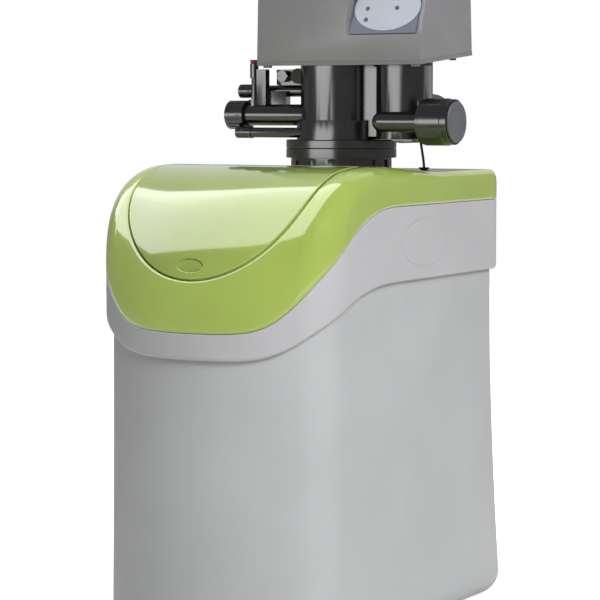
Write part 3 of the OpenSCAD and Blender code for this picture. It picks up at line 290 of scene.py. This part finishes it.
def circle_angle(x, r, d=0.0):
    """Angle on the quarter curve over x at which it meets the hatch circle of radius r."""
    x0 = x * HALF_W / (HALF_W + d)
    low, high = edge_at(x0), top_at(x0, CREST_Y)
    z = HATCH_Z - np.sqrt(np.maximum(r * r - x * x, 0)) - d
    up = np.clip((z - low) / (high - low), 0, 1) ** (1 / FULL)
    return np.where(np.abs(x) < r - 1e-6, np.arcsin(up), math.pi / 2)


def depth_angle(x, y, d=0.0):
    """Angle on the quarter curve over x at which it reaches the depth y near the crest."""
    return np.arccos(np.clip((CREST_Y - y) / (CREST_Y - front_at(x, d)), 0, 1) ** (1 / FULL))


def roll_edge(points, r, way, roll=1.0):
    """Rolls the edge along the hatch circle in by a quarter round; way is 1 inside the circle, -1 outside."""
    over = way * (np.hypot(points[..., 0], points[..., 2] - HATCH_Z) - r) + roll
    deep = fall(np.where(points[..., 1] < CREST_Y - 9, over, 0), roll)
    return points + deep[..., None] * np.array([0, 0.8, -0.6])


# %% lid front, sides and top
opening = HATCH_R + HATCH_GAP
TAB_X, TAB_Y, LID_ROLL = 92.1, -56.0, 3.5
drop = np.linspace(0, 1, 9)[:, None]
inner_x = opening * np.sin(np.linspace(-math.pi / 2, math.pi / 2, 101))
inner_x = inner_x[np.abs(np.abs(inner_x) - TAB_X) > 1.2]
inner_x = np.sort(np.append(inner_x, [-TAB_X, TAB_X]))
outer_x = opening + (HALF_W - opening) * np.sin(np.linspace(0, math.pi / 2, 22))[1:]
columns = np.concatenate([-outer_x[::-1], inner_x, outer_x])
steps = np.concatenate([np.linspace(0, 0.96, 42), np.linspace(0.96, 1, 14)[1:]])
front_phi = circle_angle(columns, opening)[None, :] * steps[:, None]
front_points = roll_edge(front_surface(columns[None, :], front_phi), opening, -1, LID_ROLL)
front_points[0, :, 2] += SEAM_GAP
side_points = []
for side in (-1, 1):
    upper = front_surface(np.full(len(steps), side * HALF_W), math.pi / 2 * steps)
    seam = edge_height(SIDE_S + upper[:, 1] - CORNER_Y) + SEAM_GAP
    heights = np.maximum(upper[:, 2], seam)[None, :] * (1 - drop) + seam[None, :] * drop
    side_points.append(np.stack([np.broadcast_to(upper[:, 0], heights.shape),
                                 np.broadcast_to(upper[:, 1], heights.shape), heights], -1))

tab_points = []
for side in (-1, 1):
    tab_x = side * inner_x[inner_x >= TAB_X - 1e-6]
    tab_phi = np.maximum(circle_angle(tab_x, opening), depth_angle(tab_x, TAB_Y))
    tab_phi = tab_phi[None, :] + (math.pi / 2 - tab_phi)[None, :] * np.linspace(0, 1, 7)[:, None]
    tab_points.append(front_surface(tab_x[None, :], tab_phi))
front_line = np.stack([columns, np.where(np.abs(columns) < TAB_X - 1e-6, CREST_Y + HATCH_GAP, CREST_Y)], -1)
right_y = np.linspace(CREST_Y, SIDE_END, 60)
corner_a = np.linspace(0, math.pi / 2, 12)[1:]
rear_x = np.linspace(REAR_X, 0, 24)[1:]
right_line = np.concatenate([
    np.stack([np.full(60, HALF_W), right_y], -1),
    np.stack([REAR_X + REAR_R * np.cos(corner_a), SIDE_END + REAR_R * np.sin(corner_a)], -1),
    np.stack([rear_x, np.full(23, REAR_Y)], -1)])
left_line = right_line[-2::-1] * [-1, 1]
wall_line = np.concatenate([right_line, left_line])
border = np.concatenate([front_line[1:-1], wall_line])
away = border - [0, NECK_Y]
reach = np.hypot(away[:, 0], away[:, 1])
spread = 1 - (1 - np.linspace(0, 1, 44)) ** 2.2
radius = NECK_HOLE + (reach - NECK_HOLE)[None, :] * spread[:, None]
flat = [0, NECK_Y] + radius[..., None] * (away / reach[:, None])[None, :, :]
top_points = np.concatenate([flat, top_at(flat[..., 0], flat[..., 1])[..., None]], -1)
rim_z = top_at(wall_line[:, 0], wall_line[:, 1])
wall_s = np.where(wall_line[:, 1] < SIDE_END, SIDE_S + wall_line[:, 1] - CORNER_Y, BACK_S)
foot_z = edge_height(wall_s) + SEAM_GAP
wall_points = np.concatenate([np.broadcast_to(wall_line, (9,) + wall_line.shape),
                              (rim_z * (1 - drop) + foot_z * drop)[..., None]], -1)
lid_points, lid_faces = patches(
    (front_points, lattice(*front_points.shape[:2])), (side_points[0], lattice(*side_points[0].shape[:2])),
    (side_points[1], lattice(*side_points[1].shape[:2])),
    *[(tab, lattice(*tab.shape[:2])) for tab in tab_points],
    (top_points, lattice(*top_points.shape[:2], wrap_cols=True)),
    (wall_points, lattice(*wall_points.shape[:2])))
lid = build("lid_skin", lid_points, lid_faces, up=(0, 0, 1))
thicken(lid, SKIN)
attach(lid, "cabinet")
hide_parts("lid_cover")
print("lid faces:", len(lid.data.polygons))

# %% [markdown]
# Under the hatch the lid has a second skin, a ledge on which the hatch rests, and two bosses that carry the
# hinge pin. The ledge is the same surface, moved in, between two circles.

# %% ledge and hinge bosses
LEDGE_R, LEDGE_OUT, LEDGE_DEEP, THIN = HATCH_R - 9, opening + 1.5, -2.6, 2.2
ledge_x = LEDGE_OUT * np.sin(np.linspace(-math.pi / 2, math.pi / 2, 121))
end_phi = depth_angle(ledge_x, CREST_Y - 4.9, LEDGE_DEEP)
low_phi = np.minimum(circle_angle(ledge_x, LEDGE_OUT, LEDGE_DEEP), end_phi)
high_phi = np.minimum(circle_angle(ledge_x, LEDGE_R, LEDGE_DEEP), end_phi)
ledge_phi = low_phi[None, :] + (high_phi - low_phi)[None, :] * np.linspace(0, 1, 6)[:, None]
ledge_points = front_surface(ledge_x[None, :], ledge_phi, LEDGE_DEEP)
ledge = build("hatch_ledge", ledge_points, lattice(6, 121), up=(0, -1, 0.4))
thicken(ledge, THIN)


def bar_along_x(x0, x1, y, z, r, sides=32):
    """Closed round bar along X: circles carried from end to end, closed at points on its axis."""
    a = np.linspace(0, 2 * math.pi, sides, endpoint=False)
    xs, rs = np.array([x0, x0, x1, x1]), np.array([1e-4, r, r, 1e-4])
    points = np.stack([np.broadcast_to(xs[:, None], (4, sides)), y + rs[:, None] * np.cos(a),
                       z + rs[:, None] * np.sin(a)], -1)
    return points, lattice(4, sides, wrap_cols=True)


HINGE_Y, HINGE_Z, BOSS_R, BARREL_R = -54.0, 455.0, 3.75, 4.0
BOSS_SPAN = [(60, 72), (-72, -60)]
BOSS_BLOCK = (HINGE_Y, HINGE_Y + 10.9, 451.75, 458.65)
box_faces = np.array([[0, 1, 3, 2], [4, 6, 7, 5], [0, 4, 5, 1], [2, 3, 7, 6], [0, 2, 6, 4], [1, 5, 7, 3]])


def box_points(x0, x1, y0, y1, z0, z1):
    """Eight corners of a box between two places on each axis."""
    return np.array([[x, y, z] for x in (x0, x1) for y in (y0, y1) for z in (z0, z1)], float)


boss_points, boss_faces = patches(
    *[bar_along_x(a, b, HINGE_Y, HINGE_Z, BOSS_R) for a, b in BOSS_SPAN],
    *[(box_points(a, b, *BOSS_BLOCK), box_faces) for a, b in BOSS_SPAN])
bosses = build("hinge_bosses", boss_points, boss_faces)
for piece in (ledge, bosses):
    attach(piece, "cabinet")
    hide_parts("lid_cover")

# %% [markdown]
# ## The salt hatch
# The hatch is the rest of the same surface, from the circle up to the hinge line. The columns and rows are
# close together round the thumb recess, which is an oval pushed in square to the front. Columns that shrink
# to a point at the rear corners are left out. The shoulders beside the hinge end a little short, so that they
# clear the lid when the hatch stands open.

# %% hatch
GRIP_L, GRIP_H, GRIP_Z, GRIP_DEEP = 27.0, 12.0, 369.0, 1.2
near_x = np.linspace(-15, 15, 81)
far_x = HATCH_R * np.sin(np.linspace(math.asin(15.6 / HATCH_R), math.pi / 2, 52))
notches = np.array([59.5, 72.5, 91.5])
KNUCKLE, SHOULDER, LEAST = 4.6, 5.6, 1.0
far_x = np.sort(np.concatenate([far_x, notches]))
hatch_x = np.concatenate([-far_x[::-1], near_x, far_x])
rows = np.concatenate([np.linspace(0, 0.02, 10, endpoint=False), np.linspace(0.02, 0.19, 52, endpoint=False),
                       np.linspace(0.19, 1, 48)])
rear_y = np.where(np.abs(hatch_x) > notches[2] + 0.01, HINGE_Y - SHOULDER, HINGE_Y - KNUCKLE)
end_phi = depth_angle(hatch_x, rear_y)
low_phi = np.minimum(circle_angle(hatch_x, HATCH_R), end_phi)
span = front_surface(hatch_x, end_phi) - front_surface(hatch_x, low_phi)
whole = np.linalg.norm(span, axis=-1) > LEAST
hatch_x, low_phi, end_phi = hatch_x[whole], low_phi[whole], end_phi[whole]
hatch_phi = low_phi[None, :] + (end_phi - low_phi)[None, :] * rows[:, None]
hatch_points = roll_edge(front_surface(hatch_x[None, :], hatch_phi), HATCH_R, 1)
oval = np.hypot(hatch_points[..., 0] / (GRIP_L / 2), (hatch_points[..., 2] - GRIP_Z) / (GRIP_H / 2))
hatch_points[..., 1] += (GRIP_DEEP + 1.0) * ease((1.06 - oval) / 0.12)
hatch_parts = [(hatch_points, lattice(*hatch_points.shape[:2]))]
TONGUES = [(-notches[2], -notches[1]), (-notches[0], notches[0]), (notches[1], notches[2])]
for start_x, stop_x in TONGUES:
    tongue_x = hatch_x[(hatch_x >= start_x) & (hatch_x <= stop_x)]
    reach_y = np.linspace(HINGE_Y - KNUCKLE, HINGE_Y, 6)[:, None]
    tongue = front_surface(tongue_x[None, :], depth_angle(tongue_x[None, :], reach_y))
    hatch_parts.append((tongue, lattice(*tongue.shape[:2])))
hatch_skin = build("hatch_skin", *patches(*hatch_parts), up=(0, -1, 0.5))
thicken(hatch_skin, THIN)
barrel_points, barrel_faces = patches(*[bar_along_x(a, b, HINGE_Y, HINGE_Z, BARREL_R) for a, b in TONGUES])
barrel = build("hatch_barrel", barrel_points, barrel_faces)
for piece in (hatch_skin, barrel):
    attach(piece, "salt_hatch")
    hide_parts("salt_hatch")
print("hatch faces:", len(hatch_skin.data.polygons))

# %% [markdown]
# ## Softer edges
# Moulded plastic has no knife edges. A copy of each moulded solid is merged and its sharp edges are rounded,
# and the copy stands for the solid.

# %% rounded copies of moulded solids
ROUND_EDGES = {
    "controller_cover": ("cabinet", 1.6), "controller_base": ("cabinet", 0.8), "valve_body": ("cabinet", 0.8),
    "adapter_ring": ("cabinet", 0.6), "clamp_ring": ("cabinet", 1.0), "inlet_union": ("cabinet", 1.0),
    "outlet_union": ("cabinet", 1.0), "inlet_plug": ("cabinet", 0.5), "outlet_plug": ("cabinet", 0.5),
    "injector_cap": ("cabinet", 0.9), "drain_cap": ("cabinet", 0.6), "refill_cap": ("cabinet", 0.6),
    "brine_fitting": ("cabinet", 0.4), "brine_collet": ("brine_collet", 0.3),
    "pilot_knob": ("pilot_knob", 0.5), "pilot_disc": ("cabinet", 0.5), "thumb_grip": ("salt_hatch", 0.3),
    "side_plates": ("cabinet", 0.25), "corner_clips": ("cabinet", 0.4), "button_left": ("button_left", 0.4),
    "button_middle": ("button_middle", 0.4), "button_right": ("button_right", 0.4),
    "panel_plate": ("cabinet", 0.4),
}


def soften(name, body, width):
    """Copy of a solid with rounded edges, riding where the solid rides."""
    mesh = nodes[name].data.copy()
    mesh.name = name + "_soft"
    work = bmesh.new()
    work.from_mesh(mesh)
    bmesh.ops.remove_doubles(work, verts=work.verts, dist=1e-5)
    bmesh.ops.dissolve_limit(work, angle_limit=math.radians(1), verts=work.verts, edges=work.edges)
    work.to_mesh(mesh)
    work.free()
    mesh.shade_smooth()
    mesh.set_sharp_from_angle(angle=math.radians(32))
    piece = bpy.data.objects.new(name + "_soft", mesh)
    bpy.context.scene.collection.objects.link(piece)
    soft = piece.modifiers.new("edge", "BEVEL")
    soft.width = width * MM
    soft.segments = 3
    soft.limit_method = "ANGLE"
    soft.angle_limit = math.radians(35)
    soft.harden_normals = True
    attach(piece, body)
    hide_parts(name)
    return piece


softened = {name: soften(name, *how) for name, how in ROUND_EDGES.items()}
print("rounded copies:", len(softened))

# %% [markdown]
# The underside of the controller rises to the rear, and the valve's columns run up to it. Their solids stop
# at the height of its front edge, so short rings fill the wedge above the two columns, and a block fills it
# above the web between them.

# %% column tops
(_, under_y, under_z), _ = np.array(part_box("controller_base")) / MM
RISE, DEPTH, UNDER_GAP, LAP = 11.0, 117.0, 0.3, 2.0
MAIN_COLUMN, SECOND_COLUMN = (0, 86, 36.4), (73, 97, 28.9)
WEB_X, WEB_Y = (33, 47), (79.3, 98)


def underside(y):
    """Height just below the controller: a straight rise from its front edge to its rear edge."""
    return under_z + (y - under_y) * RISE / DEPTH - UNDER_GAP


def sloped_ring(x, y, r, wall=4.0, sides=96):
    """Closed upright ring, a four cornered section carried round a circle, cut off along the underside."""
    a = np.linspace(0, 2 * math.pi, sides, endpoint=False)
    rs = np.array([r - wall, r, r, r - wall])[:, None]
    px, py = x + rs * np.cos(a), y + rs * np.sin(a)
    pz = np.where(np.arange(4)[:, None] < 2, under_z - LAP, underside(py))
    return np.stack([px, py, pz], -1), lattice(4, sides, wrap_rows=True, wrap_cols=True)


column_tops = build("column_tops", *patches(
    sloped_ring(*MAIN_COLUMN), sloped_ring(*SECOND_COLUMN),
    (box_points(*WEB_X, *WEB_Y, under_z - LAP - 0.5, underside(WEB_Y[0])), box_faces)))
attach(column_tops, "cabinet")
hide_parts("valve_body")
print("column tops from", round(under_z - LAP, 1), "to", round(underside(sum(SECOND_COLUMN[1:])), 1))

# %% [markdown]
# ## Shader arithmetic
# A wrapped socket can be added, multiplied and compared as a number, and one method makes any other node.

# %% sockets that calculate
class Value:
    """A shader socket with arithmetic. Each operation is a Math node in the same tree."""

    def __init__(self, tree, socket):
        self.tree, self.socket = tree, socket

    def node(self, kind, inputs=None, out=0, **settings):
        """Any node: its type, its settings and what goes into its inputs."""
        made = self.tree.nodes.new(kind)
        for key, value in settings.items():
            setattr(made, key, value)
        for key, value in (inputs or {}).items():
            if isinstance(value, Value):
                self.tree.links.new(value.socket, made.inputs[key])
            else:
                made.inputs[key].default_value = value
        return Value(self.tree, made.outputs[out])

    def math(self, operation, *others):
        """A Math node with this value first."""
        return self.node("ShaderNodeMath", dict(enumerate((self,) + others)), operation=operation)

    def __add__(self, other):
        return self.math("ADD", other)

    def __sub__(self, other):
        return self.math("SUBTRACT", other)

    def __rsub__(self, other):
        return self.math("MULTIPLY", -1.0).math("ADD", other)

    def __mul__(self, other):
        return self.math("MULTIPLY", other)

    def __truediv__(self, other):
        return self.math("DIVIDE", other)

    def __rtruediv__(self, other):
        return self.math("POWER", -1.0).math("MULTIPLY", other)

    __radd__, __rmul__ = __add__, __mul__

    def clamp(self, low=0.0, high=1.0):
        """The value kept between low and high."""
        return self.math("MAXIMUM", low).math("MINIMUM", high)

    def step(self, low, high):
        """0 at low, 1 at high, with a smooth change between, either way round."""
        return self.node("ShaderNodeMapRange", {0: self, 1: low, 2: high}, interpolation_type="SMOOTHSTEP")


def colour(hex_text, alpha=1.0):
    """Linear colour of a screen colour such as 8FA050."""
    s = np.array([int(hex_text[i:i + 2], 16) for i in (0, 2, 4)]) / 255
    return tuple(np.where(s <= 0.04045, s / 12.92, ((s + 0.055) / 1.055) ** 2.4)) + (alpha,)


# %% [markdown]
# ## Finishes
# Each finish has a slow drift of colour, a fine grain in the surface and a little unevenness of gloss, at
# the scale at which the real material shows it. They all read the piece's own place, in metres.

# %% finishes
def finish(name, light, dark, rough, grain, drift, gloss, coat=0.0, metal=0.0, marks=None, ior=1.5):
    """Finish from two colours and a roughness.

    grain is its scale per metre and its depth in mm, drift the scale of the colour, gloss its unevenness.
    """
    material = bpy.data.materials.new(name)
    material.use_nodes = True
    tree = material.node_tree
    shader = tree.nodes["Principled BSDF"]
    shader.inputs["IOR"].default_value = ior
    shader.inputs["Coat Roughness"].default_value = 0.06
    shader.inputs["Coat Weight"].default_value = coat
    shader.inputs["Metallic"].default_value = metal
    start = Value(tree, tree.nodes.new("ShaderNodeTexCoord").outputs["Object"])
    slow = start.node("ShaderNodeTexNoise", {"Vector": start, "Scale": float(drift), "Detail": 3.0})
    fine = start.node("ShaderNodeTexNoise", {"Vector": start, "Scale": float(grain[0]), "Detail": 2.0})
    height = fine
    tone = slow * 0.8 + fine * 0.2
    if marks:
        tone, height = marks(start, tone, height)
    mixed = start.node("ShaderNodeMix", {0: tone.step(0.3, 0.7), 6: colour(dark), 7: colour(light)}, out=2,
                       data_type="RGBA")
    tree.links.new(mixed.socket, shader.inputs["Base Color"])
    tree.links.new((slow * gloss + (rough - gloss / 2)).clamp(0.02, 1.0).socket, shader.inputs["Roughness"])
    bump = start.node("ShaderNodeBump", {"Height": height, "Strength": 1.0, "Distance": grain[1] * MM})
    tree.links.new(bump.socket, shader.inputs["Normal"])
    return material


def parting_line(start, tone, height):
    """Mould parting line up the middle of the front and a small gate mark on it."""
    place = start.node("ShaderNodeSeparateXYZ", {0: start})
    x, y, z = (Value(place.tree, place.socket.node.outputs[i]) for i in range(3))
    line = x.math("ABSOLUTE").step(0.0011, 0.0003) * y.step(-0.10, -0.14) * z.step(0.271, 0.249)
    dot = x.node("ShaderNodeVectorMath", {0: start, 1: (0.0, -0.195, 0.103)}, out=1, operation="DISTANCE")
    dot = dot.step(0.0034, 0.0018)
    return tone - line * 0.25 - dot * 0.5, height + line * 3.0 + dot * 4.0


def oval_groove_and_shade(start, tone, height):
    """Fine groove round the oval plates in the sides of the band, its colour darkened as painted shade in the
    groove.
    """
    place = start.node("ShaderNodeSeparateXYZ", {0: start})
    y, z = (Value(place.tree, place.socket.node.outputs[i]) for i in (1, 2))
    across, up = (y - 0.033) / 0.048, (z - 0.3835) / 0.0235
    far = ((across * across + up * up).math("SQRT") - 1.012).math("ABSOLUTE")
    groove_and_shade = far.step(0.035, 0.008)
    # painted shade: the groove's colour is darkened as well as its surface pressed in
    return tone - groove_and_shade * 0.8, height - groove_and_shade * 16.0


def dimples_and_shade(start, tone, height):
    """Rows of small round dimples on the thumb grip, each with painted shade darkening its colour."""
    cells = start.node("ShaderNodeTexVoronoi", {"Vector": start, "Scale": 620.0, "Randomness": 0.15})
    pit_and_shade = cells.step(0.42, 0.15)
    # painted shade: each dimple's colour is darkened as well as its surface pressed in
    return tone - pit_and_shade * 0.3, height - pit_and_shade * 4.0


satin = finish("satin_grey_plastic", "C9CACB", "C2C3C4", 0.46, (2600, 0.012), 9, 0.06, marks=parting_line)
satin_band = finish("satin_grey_band", "CBCBCD", "C4C4C6", 0.44, (2600, 0.012), 9, 0.06, marks=oval_groove_and_shade)
green = finish("gloss_green_plastic", "B2C95E", "ABC158", 0.14, (3000, 0.002), 12, 0.03, coat=1.0)
green_grip = finish("grip_green_plastic", "B0C75C", "A3B952", 0.22, (2500, 0.06), 30, 0.04, marks=dimples_and_shade)
black = finish("black_gloss_plastic", "141415", "0C0C0D", 0.22, (1500, 0.02), 24, 0.10, coat=0.2, ior=1.8)
cover = finish("cover_grey_plastic", "949496", "8C8C8E", 0.40, (2400, 0.03), 14, 0.06)
lip = finish("lip_grey_plastic", "8E8E90", "858587", 0.38, (2400, 0.03), 14, 0.06)
slate = finish("slate_film", "50566E", "4A5068", 0.30, (3000, 0.006), 20, 0.05)
pale = finish("pale_film", "BFC6D4", "B7BECD", 0.34, (3000, 0.006), 20, 0.05)
lens = finish("dark_lens", "1A1C24", "14161C", 0.34, (1200, 0.004), 60, 0.03)
plug = finish("plug_grey_plastic", "6A6C70", "606266", 0.36, (1800, 0.03), 30, 0.08)
white = finish("white_plastic", "DDDEDA", "D2D3CE", 0.42, (1600, 0.03), 14, 0.08)
steel = finish("turned_steel", "B9BBBE", "A6A8AC", 0.30, (2200, 0.01), 40, 0.10, metal=1.0)
rubber = finish("black_rubber", "1B1B1C", "131314", 0.62, (1400, 0.05), 30, 0.12)
wrap = finish("wound_glass_wrap", "2F3E58", "26334A", 0.34, (600, 0.12), 40, 0.10)
resin = finish("resin_beads", "9A6B2E", "77501F", 0.38, (1400, 0.30), 60, 0.12)
red = finish("red_plastic", "C2404A", "B0343E", 0.30, (1500, 0.02), 40, 0.08)
board = finish("board_green", "1F5A32", "184A29", 0.34, (1200, 0.03), 60, 0.08)
foam = finish("float_foam", "D8CFA8", "C9BF97", 0.70, (900, 0.12), 40, 0.10)

DRESS = {
    satin: ["cabinet_shell", tank], satin_band: ["rim_band", band, "side_plates"],
    green: ["lid_cover", "salt_hatch", lid, ledge, bosses, hatch_skin, barrel], green_grip: ["thumb_grip"],
    black: ["adapter_ring", "clamp_ring", "valve_body", "inlet_union", "outlet_union", "injector_cap",
            "drain_cap", "refill_cap", "brine_fitting", "pilot_knob", "bonnet", "cable_gland", "sensor_cable",
            "level_switch", "well_cap", "vessel_boot", "housing_screws", "overflow_elbow", "overflow_nut",
            "piston", "motor_bracket", column_tops],
    cover: ["controller_cover"], lip: ["controller_base"], slate: ["panel_plate"],
    pale: ["panel_oval", "button_left", "button_middle", "button_right"], lens: ["status_lenses"],
    plug: ["inlet_plug", "outlet_plug", "pilot_disc"],
    white: ["salt_grid", "brine_well", "riser_tube", "lower_strainer", "upper_strainer", "injector_nozzle",
            "drive_gear", "motor_pinion", "float_rod"],
    steel: ["hatch_pin", "drive_motor", "corner_clips"],
    rubber: ["neck_seal", "riser_seal", "piston_seals", "lid_grommet"],
    wrap: ["resin_vessel"], resin: ["resin_bed"], red: ["brine_collet"], board: ["circuit_board"],
    foam: ["brine_float"],
}


def dress(piece, material):
    """Puts the finish in every material slot of a piece, or in a new one."""
    if not piece.material_slots:
        piece.data.materials.append(material)
    for slot in piece.material_slots:
        slot.material = material


for material, names in DRESS.items():
    for item in names:
        if not isinstance(item, str):
            dress(item, material)
            continue
        dress(nodes[item], material)
        if item in softened:
            dress(softened[item], material)
print("dressed:", sum(len(n) for n in DRESS.values()))

# %% [markdown]
# ## Studio
# A pale floor under a plain white background. A soft lamp from the right gives the shading, one from behind
# lifts the top and a weak one reaches the lid from the left. Four cards are seen only in gloss: one above the
# front makes the bright patch on the hatch, one behind pales the crest of the lid, and the other two make the
# upright highlights on the valve's columns.

# %% floor, light and camera
scene = bpy.context.scene
scene.view_settings.view_transform = "Standard"
FLOOR_HALF, FLOOR_Z = 4000.0, -0.2
floor_points = np.array([[-1, -1, 0], [1, -1, 0], [1, 1, 0], [-1, 1, 0]]) * FLOOR_HALF + [0, 0, FLOOR_Z]
floor = build("studio_floor", floor_points, np.array([[0, 1, 2, 3]]), up=(0, 0, 1))
paper = bpy.data.materials.new("white_paper")
paper.use_nodes = True
paper_tree = paper.node_tree
paper_tree.nodes["Principled BSDF"].inputs["Base Color"].default_value = (0.9, 0.9, 0.9, 1)
paper_tree.nodes["Principled BSDF"].inputs["Roughness"].default_value = 0.9
paper_shader = Value(paper_tree, paper_tree.nodes["Principled BSDF"].outputs[0])
ray = paper_tree.nodes.new("ShaderNodeLightPath")
rays = [Value(paper_tree, ray.outputs[f"Is {kind} Ray"]) for kind in ("Camera", "Glossy", "Transmission")]
seen = (rays[0] + rays[1] * 0.2 + rays[2]).clamp()
spot = Value(paper_tree, paper_tree.nodes.new("ShaderNodeTexCoord").outputs["Object"])
far = seen.node("ShaderNodeVectorMath", {0: spot}, out=1, operation="LENGTH").step(0.3, 0.75)
glow = seen.node("ShaderNodeEmission", {"Color": (1, 1, 1, 1), "Strength": far * 0.3 + 0.8})
lit = seen.node("ShaderNodeAddShader", {0: glow, 1: paper_shader})
shown = seen.node("ShaderNodeMixShader", {0: seen, 1: paper_shader, 2: lit})
paper_tree.links.new(shown.socket, paper_tree.nodes["Material Output"].inputs["Surface"])
floor.data.materials.append(paper)

world = bpy.data.worlds.new("studio")
scene.world = world
world.use_nodes = True
sky_tree = world.node_tree
path_node = sky_tree.nodes.new("ShaderNodeLightPath")
camera_ray = Value(sky_tree, path_node.outputs["Is Camera Ray"])
glossy_ray = Value(sky_tree, path_node.outputs["Is Glossy Ray"])
through_ray = Value(sky_tree, path_node.outputs["Is Transmission Ray"])
strength = (camera_ray + through_ray + glossy_ray * 0.15).clamp() * 0.88 + 0.12
tree_background = sky_tree.nodes["Background"]
tree_background.inputs["Color"].default_value = (1, 1, 1, 1)
sky_tree.links.new(strength.socket, tree_background.inputs["Strength"])


def soft_box(name, place, aim, size, power, lights=True, shows=True, only=None):
    """Area lamp of width and height in metres at place, turned towards aim.

    lights says if it falls on matt surfaces, shows if glossy surfaces mirror it, and only lists the pieces
    that it reaches.
    """
    data = bpy.data.lights.new(name, "AREA")
    data.shape, data.size, data.size_y, data.energy = "RECTANGLE", size[0], size[1], power
    lamp = bpy.data.objects.new(name, data)
    scene.collection.objects.link(lamp)
    back = np.array(place, float) - np.array(aim, float)
    flat = math.hypot(back[0], back[1])
    lamp.location = place
    lamp.rotation_euler = (math.atan2(flat, back[2]), 0, math.atan2(back[0], -back[1]))
    lamp.visible_diffuse, lamp.visible_glossy = lights, shows
    if only:
        lamp.light_linking.receiver_collection = bpy.data.collections.new(name + "_reach")
        for piece in only:
            lamp.light_linking.receiver_collection.objects.link(piece)


valve_pieces = [softened[name] for name in DRESS[black] if name in softened] + [column_tops]
soft_box("key_right", (2.0, -1.35, 1.8), (0, 0, 0.3), (1.3, 1.2), 54, shows=False)
soft_box("rear_box", (-0.3, 1.0, 2.1), (0, 0, 0.4), (1.6, 1.0), 24, shows=False)
soft_box("left_fill", (-2.2, -0.9, 1.4), (0, -0.1, 0.4), (1.2, 1.2), 20, shows=False, only=[lid])
not_valve = [piece for piece in scene.objects if piece.type == "MESH" and piece not in valve_pieces]
soft_box("hatch_card", (-1.8, -0.9, 1.95), (-1.8, -0.9, 0), (4.4, 2.7), 128, lights=False, only=not_valve)
soft_box("back_card", (-0.8, 1.4, 1.7), (0, 0, 0.45), (3.4, 2.6), 11, lights=False, only=[lid, hatch_skin])
soft_box("front_card", (-0.53, -2.05, 0.58), (0, 0.086, 0.58), (2.15, 0.7), 19, lights=False,
         only=valve_pieces)
soft_box("side_card", (0.96, 1.24, 0.56), (0, 0.09, 0.56), (1.4, 0.5), 2, lights=False,
         only=[softened["valve_body"]])

camera_data = bpy.data.cameras.new("photo_view")
camera_data.lens, camera_data.sensor_width = 135, 36
camera = bpy.data.objects.new("photo_view", camera_data)
camera.location = (1.1299, -1.9457, 0.513)
camera.rotation_euler = (math.radians(85.17), 0, math.radians(30))
scene.collection.objects.link(camera)
scene.camera = camera
